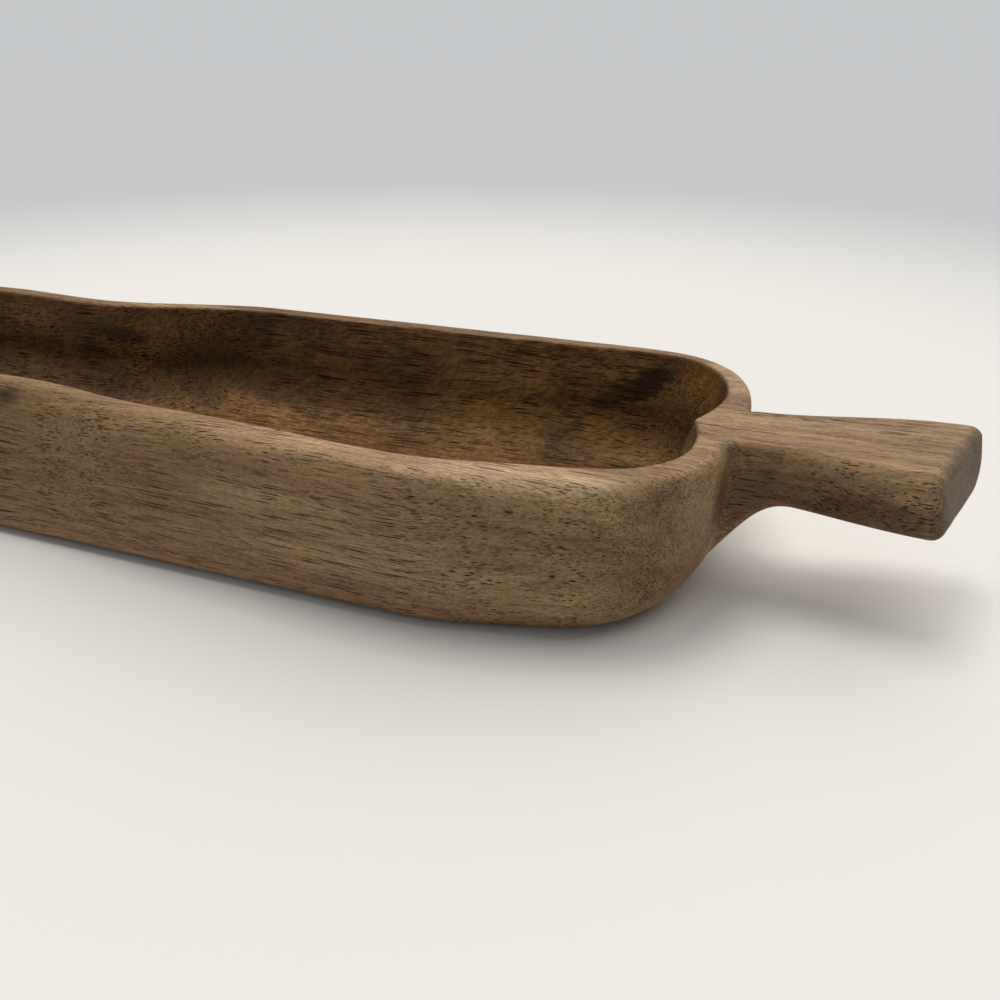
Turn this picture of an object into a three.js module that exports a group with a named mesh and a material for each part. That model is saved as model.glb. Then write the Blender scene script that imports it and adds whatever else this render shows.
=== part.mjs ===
// A long dish carved from one block of wood, with the stub of a stem left standing as its handle.
// Millimetres. +X runs from the tip to the stem, +Y to the far side, +Z up.
// "From the neck" means along the dish from where the stem leaves it, towards the tip.
import * as THREE from 'three';

const { clamp, degToRad, lerp, smoothstep } = THREE.MathUtils;

// The dish seen from above
const BOWL_LENGTH = 490;
const END_LENGTH = 51;
const END_EXPONENT = 2.35;
const TIP_LENGTH = 128;
const TIP_EXPONENT = 1.85;

// Half widths of the near side, and how far from the neck each is reached
const NEAR_CORNER = 60.5;
const NEAR_CORNER_AT = 34;
const NEAR_SHOULDER = 67.5;
const NEAR_SHOULDER_AT = 98;
const NEAR_FLANK = 62;
const NEAR_FLANK_AT = 190;
const NEAR_WAIST = 55.5;
const NEAR_WAIST_AT = 257;
const NEAR_SWELL = 59;
const NEAR_SWELL_AT = 350;

// The same for the far side, which runs straight to a narrower waist
const FAR_CORNER_AT = 30;
const FAR_SHOULDER = 68.2;
const FAR_SHOULDER_AT = 108;
const FAR_FLANK = 68;
const FAR_FLANK_AT = 217;
const FAR_WAIST = 51.9;
const FAR_WAIST_AT = 310;
const FAR_SWELL = 55;
const FAR_SWELL_AT = 362;

// The two lobes beside the stem stand a little out of square, which fades out along the dish
const NEAR_SKEW_DEGREES = 3;
const FAR_SKEW_DEGREES = 9.5;
const SKEW_REACH = 102;

// Height, foot and floor
const RIM_HEIGHT = 55;
const FLOOR_THICKNESS = 12;
const FOOT_HALF_WIDTH = 68.3;
const FOOT_RADIUS = 7;
const END_SWEEP_LENGTH = 22;
const END_SWEEP_HEIGHT = 29.5;
const TIP_SWEEP_LENGTH = 30;
const TIP_SWEEP_HEIGHT = 30;
const SWEEP_EXPONENT = 2.3;
const SWEEP_ONSET_EXPONENT = 1.3;

// The rim's width at the lobes, the corners and along the sides, and its edges. The near side's
// outer edge is rounded more towards the tip.
const LOBE_RIM = 9.5;
const NEAR_CORNER_RIM = 13.5;
const NEAR_RIM = 12.5;
const FAR_CORNER_RIM = 7.5;
const FAR_RIM = 10;
const RIM_OUTER_RADIUS = 4;
const NEAR_WORN_RADIUS = 10;
const NEAR_WORN_AT = 225;
const RIM_INNER_RADIUS = 1.2;

// The hollow, and the point that parts it in two lobes at the neck
const HOLLOW_DRAFT = 5;
const HOLLOW_RADIUS = 22;
const HOLLOW_ROOM_SHARE = 0.9;
const SPINE_INSET = 62;
const SPINE_SOFTNESS = 20.7;
const CUSP_DEPTH = 6;
const CUSP_HALF_SPAN = 32;
const CUSP_EXPONENT = 1.5;

// The stem, from the neck outwards. Near and far are half widths on the dish's two sides.
const STEM_LENGTH = 65.3;
const STEM_ROOT_NEAR = 14;
const STEM_END_NEAR = 23;
const STEM_ROOT_FAR = 13.8;
const STEM_END_FAR = 25.3;
const STEM_ROOT_THICKNESS = 20.8;
const STEM_END_THICKNESS = 21.5;
const STEM_RISE = 0.4;
const STEM_ROOT_BEVEL = 1.5;
const STEM_NEAR_BEVEL = 5.6;
const STEM_FAR_BEVEL = 3;
const STEM_BEVEL_EXPONENT = 1.35;
const STEM_LOWER_RADIUS = 4.5;
const STEM_FAR_LOWER_RADIUS = 12;
const STEM_END_RADIUS = 4;
const STEM_LEAST_RADIUS = 0.3;
const STEM_CUT_DEGREES = 21.5;
const STEM_UNDERCUT_DEGREES = 14;
const STEM_SIDE_FILLET = 3.5;
const STEM_UNDER_FILLET = 19;
const FILLET_LEAVING_SHARE = 0.5;
const FILLET_ARRIVING_SHARE = 0.3;

// How finely each stretch is divided
const STATIONS_PER_SIDE = 74;
const STATION_CROWDING_SHARE = 0.5;
const ROOT_STATIONS = 6;
const SWEEP_ROWS = 8;
const SWEEP_ROWS_BELOW_STEM = 4;
const WALL_ROWS = 3;
const EDGE_ROWS = 4;
const TOP_ROWS = 2;
const INNER_EDGE_ROWS = 2;
const INNER_WALL_ROWS = 3;
const HOLLOW_ROWS = 7;
const FLOOR_ROWS = 2;
const FLOOR_SHARE = 0.6;
const FILLET_RINGS = 7;
const STEM_RINGS = 6;
const END_EDGE_RINGS = 4;
const OUTLINE_SAMPLES = 1200;
const FAIRING_PASSES = 3;
const CUT_ROUNDS = 6;

const WOOD_COLOUR = 0x8a6c50;
const WOOD_ROUGHNESS = 0.62;

const QUARTER_TURN = Math.PI / 2;
const SWEEP_TURN_EXPONENT = 2 / SWEEP_EXPONENT;
const BEVEL_TURN_EXPONENT = 2 / STEM_BEVEL_EXPONENT;
const STATIONS = 2 * STATIONS_PER_SIDE;
const LOW_ROW = SWEEP_ROWS_BELOW_STEM;
const HIGH_ROW = SWEEP_ROWS + WALL_ROWS + EDGE_ROWS;

// Each side of the dish: pairs of a distance from the neck and the size reached there.
const NEAR = {
  sign: -1,
  skew: Math.tan(degToRad(NEAR_SKEW_DEGREES)),
  halfWidths: [
    [NEAR_CORNER_AT, NEAR_CORNER],
    [NEAR_SHOULDER_AT, NEAR_SHOULDER],
    [NEAR_FLANK_AT, NEAR_FLANK],
    [NEAR_WAIST_AT, NEAR_WAIST],
    [NEAR_SWELL_AT, NEAR_SWELL],
  ],
  footHalfWidths: [
    [NEAR_CORNER_AT, NEAR_CORNER],
    [NEAR_SHOULDER_AT, FOOT_HALF_WIDTH],
  ],
  rimWidths: [
    [0, LOBE_RIM],
    [NEAR_CORNER_AT, NEAR_CORNER_RIM],
    [NEAR_SHOULDER_AT, NEAR_RIM],
  ],
  edgeRadii: [
    [NEAR_SHOULDER_AT, RIM_OUTER_RADIUS],
    [NEAR_WORN_AT, NEAR_WORN_RADIUS],
  ],
  stemRoot: STEM_ROOT_NEAR,
};
const FAR = {
  sign: 1,
  skew: Math.tan(degToRad(FAR_SKEW_DEGREES)),
  halfWidths: [
    [FAR_SHOULDER_AT, FAR_SHOULDER],
    [FAR_FLANK_AT, FAR_FLANK],
    [FAR_WAIST_AT, FAR_WAIST],
    [FAR_SWELL_AT, FAR_SWELL],
  ],
  footHalfWidths: [[FAR_SHOULDER_AT, FOOT_HALF_WIDTH]],
  rimWidths: [
    [0, LOBE_RIM],
    [FAR_CORNER_AT, FAR_CORNER_RIM],
    [FAR_SHOULDER_AT, FAR_RIM],
  ],
  edgeRadii: [[0, RIM_OUTER_RADIUS]],
  stemRoot: STEM_ROOT_FAR,
};

// A size that eases from each pair's value to the next one's.
function eased(pairs, along) {
  let value = pairs[0][1];
  for (let k = 1; k < pairs.length; k += 1) {
    const [start] = pairs[k - 1];
    const [stop, reached] = pairs[k];
    value = lerp(value, reached, smoothstep(along, start, stop));
  }
  return value;
}

// A quarter of a superellipse: 0 at the very end of the dish, 1 where its side begins.
function roundedEnd(distance, length, exponent) {
  const left = 1 - clamp(distance / length, 0, 1);
  return (1 - left ** exponent) ** (1 / exponent);
}

// A point of an outline that is so wide at that distance, were its ends not rounded.
function outlinePoint(side, along, halfWidth) {
  const stemEnd = roundedEnd(along, END_LENGTH, END_EXPONENT);
  const tip = roundedEnd(BOWL_LENGTH - along, TIP_LENGTH, TIP_EXPONENT);
  const across = side.sign * halfWidth * stemEnd * tip;
  const skew = side.skew * across * (1 - smoothstep(along, 0, SKEW_REACH));
  return new THREE.Vector2(skew - along, across);
}

function rimPoint(side, along) {
  return outlinePoint(side, along, eased(side.halfWidths, along));
}

function footPoint(side, along) {
  return outlinePoint(side, along, eased(side.footHalfWidths, along));
}

// Distances from the neck for even steps of a turn, closer together at both ends.
function alongAtTurn(turn) {
  return (BOWL_LENGTH * (1 - Math.cos(Math.PI * turn))) / 2;
}

// The rim outline's length from the neck to each of many places along one side.
function measureSide(side) {
  const lengths = [0];
  let last = rimPoint(side, 0);
  for (let k = 1; k <= OUTLINE_SAMPLES; k += 1) {
    const point = rimPoint(side, alongAtTurn(k / OUTLINE_SAMPLES));
    lengths.push(lengths[k - 1] + point.distanceTo(last));
    last = point;
  }
  return lengths;
}

// How far round the outline each station of one side lies: the first few share the stem's root
// evenly, and the rest stand widest apart halfway to the tip.
function stationLengths(side, total) {
  const root = side.stemRoot + STEM_SIDE_FILLET;
  const lengths = [];
  for (let i = 0; i <= STATIONS_PER_SIDE; i += 1) {
    if (i <= ROOT_STATIONS) {
      lengths.push((root * i) / ROOT_STATIONS);
    } else {
      const t = (i - ROOT_STATIONS) / (STATIONS_PER_SIDE - ROOT_STATIONS);
      const even = t - (STATION_CROWDING_SHARE * Math.sin(2 * Math.PI * t)) / (2 * Math.PI);
      lengths.push(lerp(root, total, even));
    }
  }
  return lengths;
}

// The distance from the neck of each station of one side.
function sideStations(side) {
  const measured = measureSide(side);
  let k = 1;
  return stationLengths(side, measured[OUTLINE_SAMPLES]).map((wanted) => {
    while (k < OUTLINE_SAMPLES && measured[k] < wanted) k += 1;
    const part = clamp((wanted - measured[k - 1]) / (measured[k] - measured[k - 1]), 0, 1);
    return alongAtTurn((k - 1 + part) / OUTLINE_SAMPLES);
  });
}

// The point of the middle line that a station faces: the line stops short of both ends.
function spinePoint(along) {
  const last = BOWL_LENGTH - SPINE_INSET;
  const beyond = (along + SPINE_INSET + Math.hypot(along - SPINE_INSET, SPINE_SOFTNESS)) / 2;
  const held = (beyond + last - Math.hypot(beyond - last, SPINE_SOFTNESS)) / 2;
  return new THREE.Vector2(-held, 0);
}

// The rim's width from its outer to its inner edge, with the point at the neck.
function rimWidth(side, along, across) {
  const width = eased(side.rimWidths, along);
  const nearness = Math.max(0, 1 - Math.abs(across) / CUSP_HALF_SPAN);
  const cusp = along < END_LENGTH ? CUSP_DEPTH * nearness ** CUSP_EXPONENT : 0;
  return width + cusp;
}

// All that the profile at one station needs. Inward points across the rim to the middle line.
function makeStation(side, along) {
  const rim = rimPoint(side, along);
  const foot = footPoint(side, along);
  const inward = spinePoint(along).sub(rim);
  const room = inward.length();
  inward.normalize();
  const toStem = Math.max(-inward.x, 0) ** SWEEP_ONSET_EXPONENT;
  const toTip = Math.max(inward.x, 0) ** SWEEP_ONSET_EXPONENT;
  const blend = (flank, stem, tip) => flank + toStem * (stem - flank) + toTip * (tip - flank);
  const edgeRadius = eased(side.edgeRadii, along);
  const tallest = RIM_HEIGHT - 2 * edgeRadius;
  return {
    rim,
    foot,
    inward,
    room,
    width: rimWidth(side, along, rim.y),
    edgeRadius,
    sweepLength: blend(FOOT_RADIUS, END_SWEEP_LENGTH, TIP_SWEEP_LENGTH),
    sweepHeight: Math.min(blend(FOOT_RADIUS, END_SWEEP_HEIGHT, TIP_SWEEP_HEIGHT), tallest),
  };
}

// Every station once round the dish: from the neck down the near side, back up the far side.
function makeStations() {
  const near = sideStations(NEAR).map((along) => makeStation(NEAR, along));
  const far = sideStations(FAR).map((along) => makeStation(FAR, along));
  return [...near, ...far.slice(1, -1).reverse()];
}

// A point of the outside: the wall leans from the foot's outline at the bottom to the rim's.
function outside(station, inset, height) {
  const up = smoothstep(height, 0, RIM_HEIGHT);
  const plan = station.foot.clone().lerp(station.rim, up);
  plan.addScaledVector(station.inward, inset);
  return new THREE.Vector3(plan.x, plan.y, height);
}

// A point of the rim's top or of the hollow.
function inside(station, inset, height) {
  const plan = station.rim.clone().addScaledVector(station.inward, inset);
  return new THREE.Vector3(plan.x, plan.y, height);
}

// Calls place(t) for t from 1 / count to 1 and returns what it gives.
function steps(count, place) {
  return Array.from({ length: count }, (_, k) => place((k + 1) / count));
}

// The outer part of a profile: from the flat of the foot round its sweep and up to the rim.
function outerProfile(station) {
  const radius = station.edgeRadius;
  const wallTop = RIM_HEIGHT - radius;
  const sweep = (t) => {
    const inset = station.sweepLength * (1 - Math.sin(QUARTER_TURN * t) ** SWEEP_TURN_EXPONENT);
    const height = station.sweepHeight * (1 - Math.cos(QUARTER_TURN * t) ** SWEEP_TURN_EXPONENT);
    return outside(station, inset, height);
  };
  const wall = (t) => outside(station, 0, lerp(station.sweepHeight, wallTop, t));
  const edge = (t) => {
    const inset = radius * (1 - Math.cos(QUARTER_TURN * t));
    return outside(station, inset, wallTop + radius * Math.sin(QUARTER_TURN * t));
  };
  return [
    sweep(0),
    ...steps(SWEEP_ROWS, sweep),
    ...steps(WALL_ROWS, wall),
    ...steps(EDGE_ROWS, edge),
  ];
}

// The inner part: over the rim's top, down into the hollow and out onto its floor.
function innerProfile(station) {
  const brink = station.width - RIM_INNER_RADIUS;
  const hollowTop = RIM_HEIGHT - RIM_INNER_RADIUS;
  const wallFoot = station.width + HOLLOW_DRAFT;
  const room = HOLLOW_ROOM_SHARE * (station.room - wallFoot);
  const radius = Math.min(HOLLOW_RADIUS, hollowTop - FLOOR_THICKNESS, room);
  const top = (t) => inside(station, lerp(station.edgeRadius, brink, t), RIM_HEIGHT);
  const edge = (t) => {
    const inset = brink + RIM_INNER_RADIUS * Math.sin(QUARTER_TURN * t);
    return inside(station, inset, hollowTop + RIM_INNER_RADIUS * Math.cos(QUARTER_TURN * t));
  };
  const wall = (t) => {
    const height = lerp(hollowTop, FLOOR_THICKNESS + radius, t);
    return inside(station, station.width + HOLLOW_DRAFT * t, height);
  };
  const round = (t) => {
    const inset = wallFoot + radius * (1 - Math.cos(QUARTER_TURN * t));
    return inside(station, inset, FLOOR_THICKNESS + radius * (1 - Math.sin(QUARTER_TURN * t)));
  };
  const floor = (t) => {
    const inset = lerp(wallFoot + radius, station.room, FLOOR_SHARE * t);
    return inside(station, inset, FLOOR_THICKNESS);
  };
  return [
    ...steps(TOP_ROWS, top),
    ...steps(INNER_EDGE_ROWS, edge),
    ...steps(INNER_WALL_ROWS, wall),
    ...steps(HOLLOW_ROWS, round),
    ...steps(FLOOR_ROWS, floor),
  ];
}

// Vertices and triangles of the carving, gathered as its forms are made.
class Skin {
  constructor() {
    this.points = [];
    this.triangles = [];
  }

  add(point) {
    this.points.push(point);
    return this.points.length - 1;
  }

  // Adds a four-sided face as two triangles, parted along its shorter diagonal.
  quad(a, b, c, d) {
    const reach = (from, to) => this.points[from].distanceToSquared(this.points[to]);
    if (reach(a, c) <= reach(b, d)) this.triangles.push([a, b, c], [a, c, d]);
    else this.triangles.push([a, b, d], [b, c, d]);
  }

  // Joins two closed loops of equal length with a band of quads.
  band(from, to) {
    from.forEach((vertex, k) => {
      const next = (k + 1) % from.length;
      this.quad(from[next], vertex, to[k], to[next]);
    });
  }

  // Closes a level loop whose first half faces its second across a middle line.
  closeLevel(loop, facingDown) {
    const count = loop.length;
    for (let i = 0; i < count / 2; i += 1) {
      const corners = [i, i + 1, count - i - 1, count - i].map((k) => loop[k % count]);
      if (!facingDown) corners.reverse();
      const distinct = corners.filter((vertex, k) => vertex !== corners[(k + 1) % 4]);
      if (distinct.length === 4) this.quad(...distinct);
      else this.triangles.push(distinct);
    }
  }

  // Closes a loop with a fan about its middle.
  closeFan(loop) {
    const middle = new THREE.Vector3();
    loop.forEach((vertex) => middle.addScaledVector(this.points[vertex], 1 / loop.length));
    const centre = this.add(middle);
    loop.forEach((vertex, k) => this.triangles.push([loop[(k + 1) % loop.length], vertex, centre]));
  }

  // Moves each of these vertices to the middle of its neighbours, a few times over.
  fair(vertices, passes) {
    const neighbours = new Map(vertices.map((vertex) => [vertex, new Set()]));
    for (const triangle of this.triangles) {
      for (const vertex of triangle) {
        if (neighbours.has(vertex)) triangle.forEach((other) => neighbours.get(vertex).add(other));
      }
    }
    for (let pass = 0; pass < passes; pass += 1) {
      const moved = vertices.map((vertex) => {
        const middle = new THREE.Vector3();
        const around = neighbours.get(vertex);
        around.forEach((other) => middle.addScaledVector(this.points[other], 1 / around.size));
        return middle;
      });
      vertices.forEach((vertex, k) => this.points[vertex].copy(moved[k]));
    }
  }

  geometry() {
    const geometry = new THREE.BufferGeometry();
    geometry.setFromPoints(this.points);
    geometry.setIndex(this.triangles.flat());
    return geometry;
  }
}

// The dish as rows of points, all round it. Station numbers below 0 count back from the neck
// along the far side.
class Dish {
  constructor() {
    this.columns = makeStations().map((station) => [...outerProfile(station), ...innerProfile(station)]);
    this.rows = this.columns[0].length;
    this.vertices = this.columns.map(() => []);
  }

  static wrap(i) {
    return (i + STATIONS) % STATIONS;
  }

  point(i, j) {
    return this.columns[Dish.wrap(i)][j];
  }

  vertex(i, j) {
    return this.vertices[Dish.wrap(i)][j];
  }

  // Whether the stem takes the place of the quad that starts at this station and row.
  static underStem(i, j) {
    return i >= -ROOT_STATIONS && i < ROOT_STATIONS && j >= LOW_ROW && j < HIGH_ROW;
  }

  // The skin's direction outwards at a point of the outside.
  normal(i, j) {
    if (j === HIGH_ROW) return new THREE.Vector3(0, 0, 1);
    const round = this.point(i + 1, j).clone().sub(this.point(i - 1, j));
    const upwards = this.point(i, j + 1).clone().sub(this.point(i, j - 1));
    return upwards.cross(round).normalize();
  }

  // Adds the dish to the skin, with a hole where the stem will stand.
  build(skin) {
    for (let i = -STATIONS_PER_SIDE; i < STATIONS_PER_SIDE; i += 1) {
      for (let j = 0; j < this.rows; j += 1) {
        const inner = Math.abs(i) < ROOT_STATIONS && j > LOW_ROW && j < HIGH_ROW;
        this.vertices[Dish.wrap(i)][j] = inner ? null : skin.add(this.point(i, j).clone());
      }
    }
    for (let i = -STATIONS_PER_SIDE; i < STATIONS_PER_SIDE; i += 1) {
      for (let j = 0; j < this.rows - 1; j += 1) {
        if (Dish.underStem(i, j)) continue;
        const left = [this.vertex(i, j), this.vertex(i, j + 1)];
        const right = [this.vertex(i + 1, j + 1), this.vertex(i + 1, j)];
        skin.quad(...left, ...right);
      }
    }
    skin.closeLevel(this.vertices.map((column) => column[0]), true);
    skin.closeLevel(this.vertices.map((column) => column[this.rows - 1]), false);
  }

  // The hole's edge as pairs of a station and a row: up the near side, across the rim to the
  // far side, down it and back below the stem.
  static holeEdge() {
    const edge = [];
    for (let j = LOW_ROW; j < HIGH_ROW; j += 1) edge.push([ROOT_STATIONS, j]);
    for (let i = ROOT_STATIONS; i > -ROOT_STATIONS; i -= 1) edge.push([i, HIGH_ROW]);
    for (let j = HIGH_ROW; j > LOW_ROW; j -= 1) edge.push([-ROOT_STATIONS, j]);
    for (let i = -ROOT_STATIONS; i < ROOT_STATIONS; i += 1) edge.push([i, LOW_ROW]);
    return edge;
  }
}

// The stem: lines run along it from the edge of the hole in the dish to the cut end.
class Stem {
  // The half widths, the heights of the top and the underside, the breadth of the bevels beside
  // the top and the radius of the far lower corner, at a distance from the neck.
  static size(distance) {
    const t = distance / STEM_LENGTH;
    const flare = smoothstep(t, 0, 1);
    const top = RIM_HEIGHT + STEM_RISE * t * t;
    return {
      near: lerp(STEM_ROOT_NEAR, STEM_END_NEAR, flare),
      far: lerp(STEM_ROOT_FAR, STEM_END_FAR, flare),
      top,
      under: top - lerp(STEM_ROOT_THICKNESS, STEM_END_THICKNESS, t),
      nearBevel: lerp(STEM_ROOT_BEVEL, STEM_NEAR_BEVEL, t),
      farBevel: lerp(STEM_ROOT_BEVEL, STEM_FAR_BEVEL, t),
      farRadius: lerp(STEM_LOWER_RADIUS, STEM_FAR_LOWER_RADIUS, t),
    };
  }

  // One flank as points, as if it were the near one: up from the middle of its lower corner.
  static flank(side, low, bottom, radius) {
    const path = new THREE.Path();
    path.absarc(-side + radius, low + radius, radius, -1.5 * QUARTER_TURN, -2 * QUARTER_TURN, true);
    path.lineTo(-side, bottom);
    return path.getSpacedPoints(HIGH_ROW - LOW_ROW - EDGE_ROWS);
  }

  // The bevel above that flank as points. Its two arrises are eased.
  static bevel(side, high, breadth) {
    return Array.from({ length: EDGE_ROWS + 1 }, (_, k) => {
      const turn = (QUARTER_TURN * k) / EDGE_ROWS;
      const inset = breadth * (1 - Math.cos(turn) ** BEVEL_TURN_EXPONENT);
      const drop = breadth * (1 - Math.sin(turn) ** BEVEL_TURN_EXPONENT);
      return new THREE.Vector2(-side + inset, high - drop);
    });
  }

  // The section's outline as points, x across and y up, in the order of the hole's edge. It
  // starts in the middle of the near lower corner, and the bevels lie along the rim's edge.
  static section(distance, shrink) {
    const size = Stem.size(distance);
    const near = size.near - shrink;
    const far = size.far - shrink;
    const high = size.top - shrink;
    const low = size.under + shrink;
    const drawnIn = (reach) => Math.max(reach - shrink, STEM_LEAST_RADIUS);
    const nearBevel = drawnIn(size.nearBevel);
    const farBevel = drawnIn(size.farBevel);
    const nearRadius = drawnIn(STEM_LOWER_RADIUS);
    const farRadius = drawnIn(size.farRadius);
    const lid = new THREE.LineCurve(
      new THREE.Vector2(nearBevel - near, high),
      new THREE.Vector2(far - farBevel, high),
    );
    const belly = new THREE.Path();
    belly.absarc(far - farRadius, low + farRadius, farRadius, -QUARTER_TURN / 2, -QUARTER_TURN, true);
    belly.absarc(nearRadius - near, low + nearRadius, nearRadius, -QUARTER_TURN, -1.5 * QUARTER_TURN, true);
    const mirrored = (points) => points.map((point) => new THREE.Vector2(-point.x, point.y)).reverse();
    const runs = [
      Stem.flank(near, low, high - nearBevel, nearRadius),
      Stem.bevel(near, high, nearBevel),
      lid.getSpacedPoints(2 * ROOT_STATIONS),
      mirrored(Stem.bevel(far, high, farBevel)),
      mirrored(Stem.flank(far, low, high - farBevel, farRadius)),
      belly.getSpacedPoints(2 * ROOT_STATIONS),
    ];
    return runs.flatMap((run) => run.slice(0, -1));
  }

  // Line k's point at a distance from the neck, drawn in from the surface by shrink.
  static point(k, distance, shrink) {
    const place = Stem.section(distance, shrink)[k];
    return new THREE.Vector3(distance, place.x, place.y);
  }

  // Where line k, drawn in by shrink, meets the slanted cut: the section widens along the stem,
  // so the distance is found in a few rounds.
  static cutDistance(k, shrink) {
    let distance = STEM_LENGTH;
    for (let round = 0; round < CUT_ROUNDS; round += 1) {
      const place = Stem.section(distance, shrink)[k];
      const slant = Math.tan(degToRad(STEM_CUT_DEGREES)) * place.x;
      const undercut = Math.tan(degToRad(STEM_UNDERCUT_DEGREES)) * (RIM_HEIGHT - place.y);
      distance = STEM_LENGTH + slant + undercut;
    }
    return distance;
  }

  // How far out line k's fillet ends: short beside the stem and long below it.
  static filletEnd(k) {
    const depth = RIM_HEIGHT - Stem.section(0, 0)[k].y;
    const middle = STEM_ROOT_THICKNESS / 2;
    const low = smoothstep(depth, middle, STEM_ROOT_THICKNESS);
    return lerp(STEM_SIDE_FILLET, STEM_UNDER_FILLET, low);
  }

  // Line k's fillet: it leaves the dish along its skin and joins the stem along its axis.
  static fillet(k, from, normal) {
    const to = Stem.point(k, Stem.filletEnd(k), 0);
    const reach = from.distanceTo(to);
    const leaving = to.clone().sub(from).projectOnPlane(normal).setLength(FILLET_LEAVING_SHARE * reach);
    const arriving = new THREE.Vector3(FILLET_ARRIVING_SHARE * reach, 0, 0);
    return new THREE.CubicBezierCurve3(from, from.clone().add(leaving), to.clone().sub(arriving), to);
  }

  static build(skin, dish) {
    const edge = Dish.holeEdge();
    const fillets = edge.map(([i, j], k) => Stem.fillet(k, dish.point(i, j), dish.normal(i, j)));
    const rings = [edge.map(([i, j]) => dish.vertex(i, j))];
    const addRing = (place) => rings.push(edge.map((_, k) => skin.add(place(k))));
    for (let ring = 1; ring <= FILLET_RINGS; ring += 1) {
      addRing((k) => fillets[k].getPoint(ring / FILLET_RINGS));
    }
    for (let ring = 1; ring <= STEM_RINGS; ring += 1) {
      addRing((k) => {
        const last = Stem.cutDistance(k, 0) - STEM_END_RADIUS;
        return Stem.point(k, lerp(Stem.filletEnd(k), last, ring / STEM_RINGS), 0);
      });
    }
    for (let ring = 1; ring <= END_EDGE_RINGS; ring += 1) {
      const turn = (QUARTER_TURN * ring) / END_EDGE_RINGS;
      const shrink = STEM_END_RADIUS * (1 - Math.cos(turn));
      const back = STEM_END_RADIUS * (1 - Math.sin(turn));
      addRing((k) => Stem.point(k, Stem.cutDistance(k, shrink) - back, shrink));
    }
    for (let ring = 1; ring < rings.length; ring += 1) skin.band(rings[ring - 1], rings[ring]);
    skin.closeFan(rings[rings.length - 1]);
    skin.fair(rings.slice(0, FILLET_RINGS).flat(), FAIRING_PASSES);
  }
}

// The whole carving, its origin below the middle of its bounding box.
function carve() {
  const skin = new Skin();
  const dish = new Dish();
  dish.build(skin);
  Stem.build(skin, dish);
  const geometry = skin.geometry();
  geometry.computeBoundingBox();
  const { min, max } = geometry.boundingBox;
  geometry.translate(-(min.x + max.x) / 2, -(min.y + max.y) / 2, -min.z);
  geometry.computeVertexNormals();
  return geometry;
}

const wood = new THREE.MeshStandardMaterial({
  color: WOOD_COLOUR,
  roughness: WOOD_ROUGHNESS,
  metalness: 0,
});
const bowl = new THREE.Mesh(carve(), wood);
bowl.name = 'carved_bowl';

const group = new THREE.Group();
group.add(bowl);
export default group;
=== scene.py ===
"""A long dish carved from one block of open-pored wood, with the stub of a stem as its handle.

Sizes in the classes are millimetres, and become metres where a mesh, a light or a camera is made.
+X runs from the dish's tip to its stem, +Y to the far side, +Z up. "From the neck" means along
the dish from where the stem leaves it, towards the tip.
"""

import logging
import math
from dataclasses import dataclass, field
from enum import Enum

import bpy
import numpy as np
from mathutils import Euler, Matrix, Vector

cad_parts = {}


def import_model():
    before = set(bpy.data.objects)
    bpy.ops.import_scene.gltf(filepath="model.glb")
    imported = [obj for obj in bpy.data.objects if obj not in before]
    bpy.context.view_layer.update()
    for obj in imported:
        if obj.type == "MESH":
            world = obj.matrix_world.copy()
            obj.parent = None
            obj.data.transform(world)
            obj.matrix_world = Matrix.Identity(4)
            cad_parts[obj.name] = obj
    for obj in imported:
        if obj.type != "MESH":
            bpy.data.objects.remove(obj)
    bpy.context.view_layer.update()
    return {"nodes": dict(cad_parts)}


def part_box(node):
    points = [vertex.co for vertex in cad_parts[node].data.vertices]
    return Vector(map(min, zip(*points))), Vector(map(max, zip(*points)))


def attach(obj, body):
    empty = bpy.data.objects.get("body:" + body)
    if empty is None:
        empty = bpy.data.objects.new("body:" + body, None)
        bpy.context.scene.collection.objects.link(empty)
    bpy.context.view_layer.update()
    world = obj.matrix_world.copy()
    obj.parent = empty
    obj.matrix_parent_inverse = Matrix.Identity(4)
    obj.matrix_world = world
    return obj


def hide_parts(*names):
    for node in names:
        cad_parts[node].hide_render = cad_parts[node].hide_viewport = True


MM = 0.001
QUARTER_TURN = math.pi / 2
PHOTO_PIXELS = 1000

FORWARDS = (1.0, 0.0, 0.0)
UPWARDS = (0.0, 0.0, 1.0)

Numbers = np.ndarray | float
Knots = tuple[tuple[float, float], ...]
Triple = tuple[float, float, float]
Colour = tuple[float, float, float, float]
Socket = bpy.types.NodeSocket

log = logging.getLogger("carved_bowl")


def smoothstep(value: Numbers, low: float, high: float) -> np.ndarray:
    """Eases from 0 at low to 1 at high.

    Args:
        value: What is looked up.
        low: Where the rise starts.
        high: Where it ends.

    Returns:
        The eased share, of the value's shape.
    """
    t = np.clip((value - low) / (high - low), 0.0, 1.0)
    return t * t * (3.0 - 2.0 * t)


def lerp(start: Numbers, stop: Numbers, t: Numbers) -> np.ndarray:
    """Goes in a straight line from start at 0 to stop at 1."""
    return start + (stop - start) * t


def eased(knots: Knots, along: np.ndarray) -> np.ndarray:
    """A size that eases from each knot's value to the next one's.

    Args:
        knots: Pairs of a distance from the neck and the size reached there.
        along: Distances from the neck.

    Returns:
        The size at each distance.
    """
    value = np.full_like(along, knots[0][1])
    for (start, _), (stop, reached) in zip(knots, knots[1:]):
        value = lerp(value, reached, smoothstep(along, start, stop))
    return value


def rounded_end(distance: np.ndarray, length: float, exponent: float) -> np.ndarray:
    """A quarter of a superellipse: 0 at the very end of the dish, 1 where its side begins."""
    left = 1.0 - np.clip(distance / length, 0.0, 1.0)
    return (1.0 - left**exponent) ** (1.0 / exponent)


def shares(count: int) -> np.ndarray:
    """Even shares of a stretch, from one count-th to the whole."""
    return np.arange(1, count + 1) / count


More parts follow.
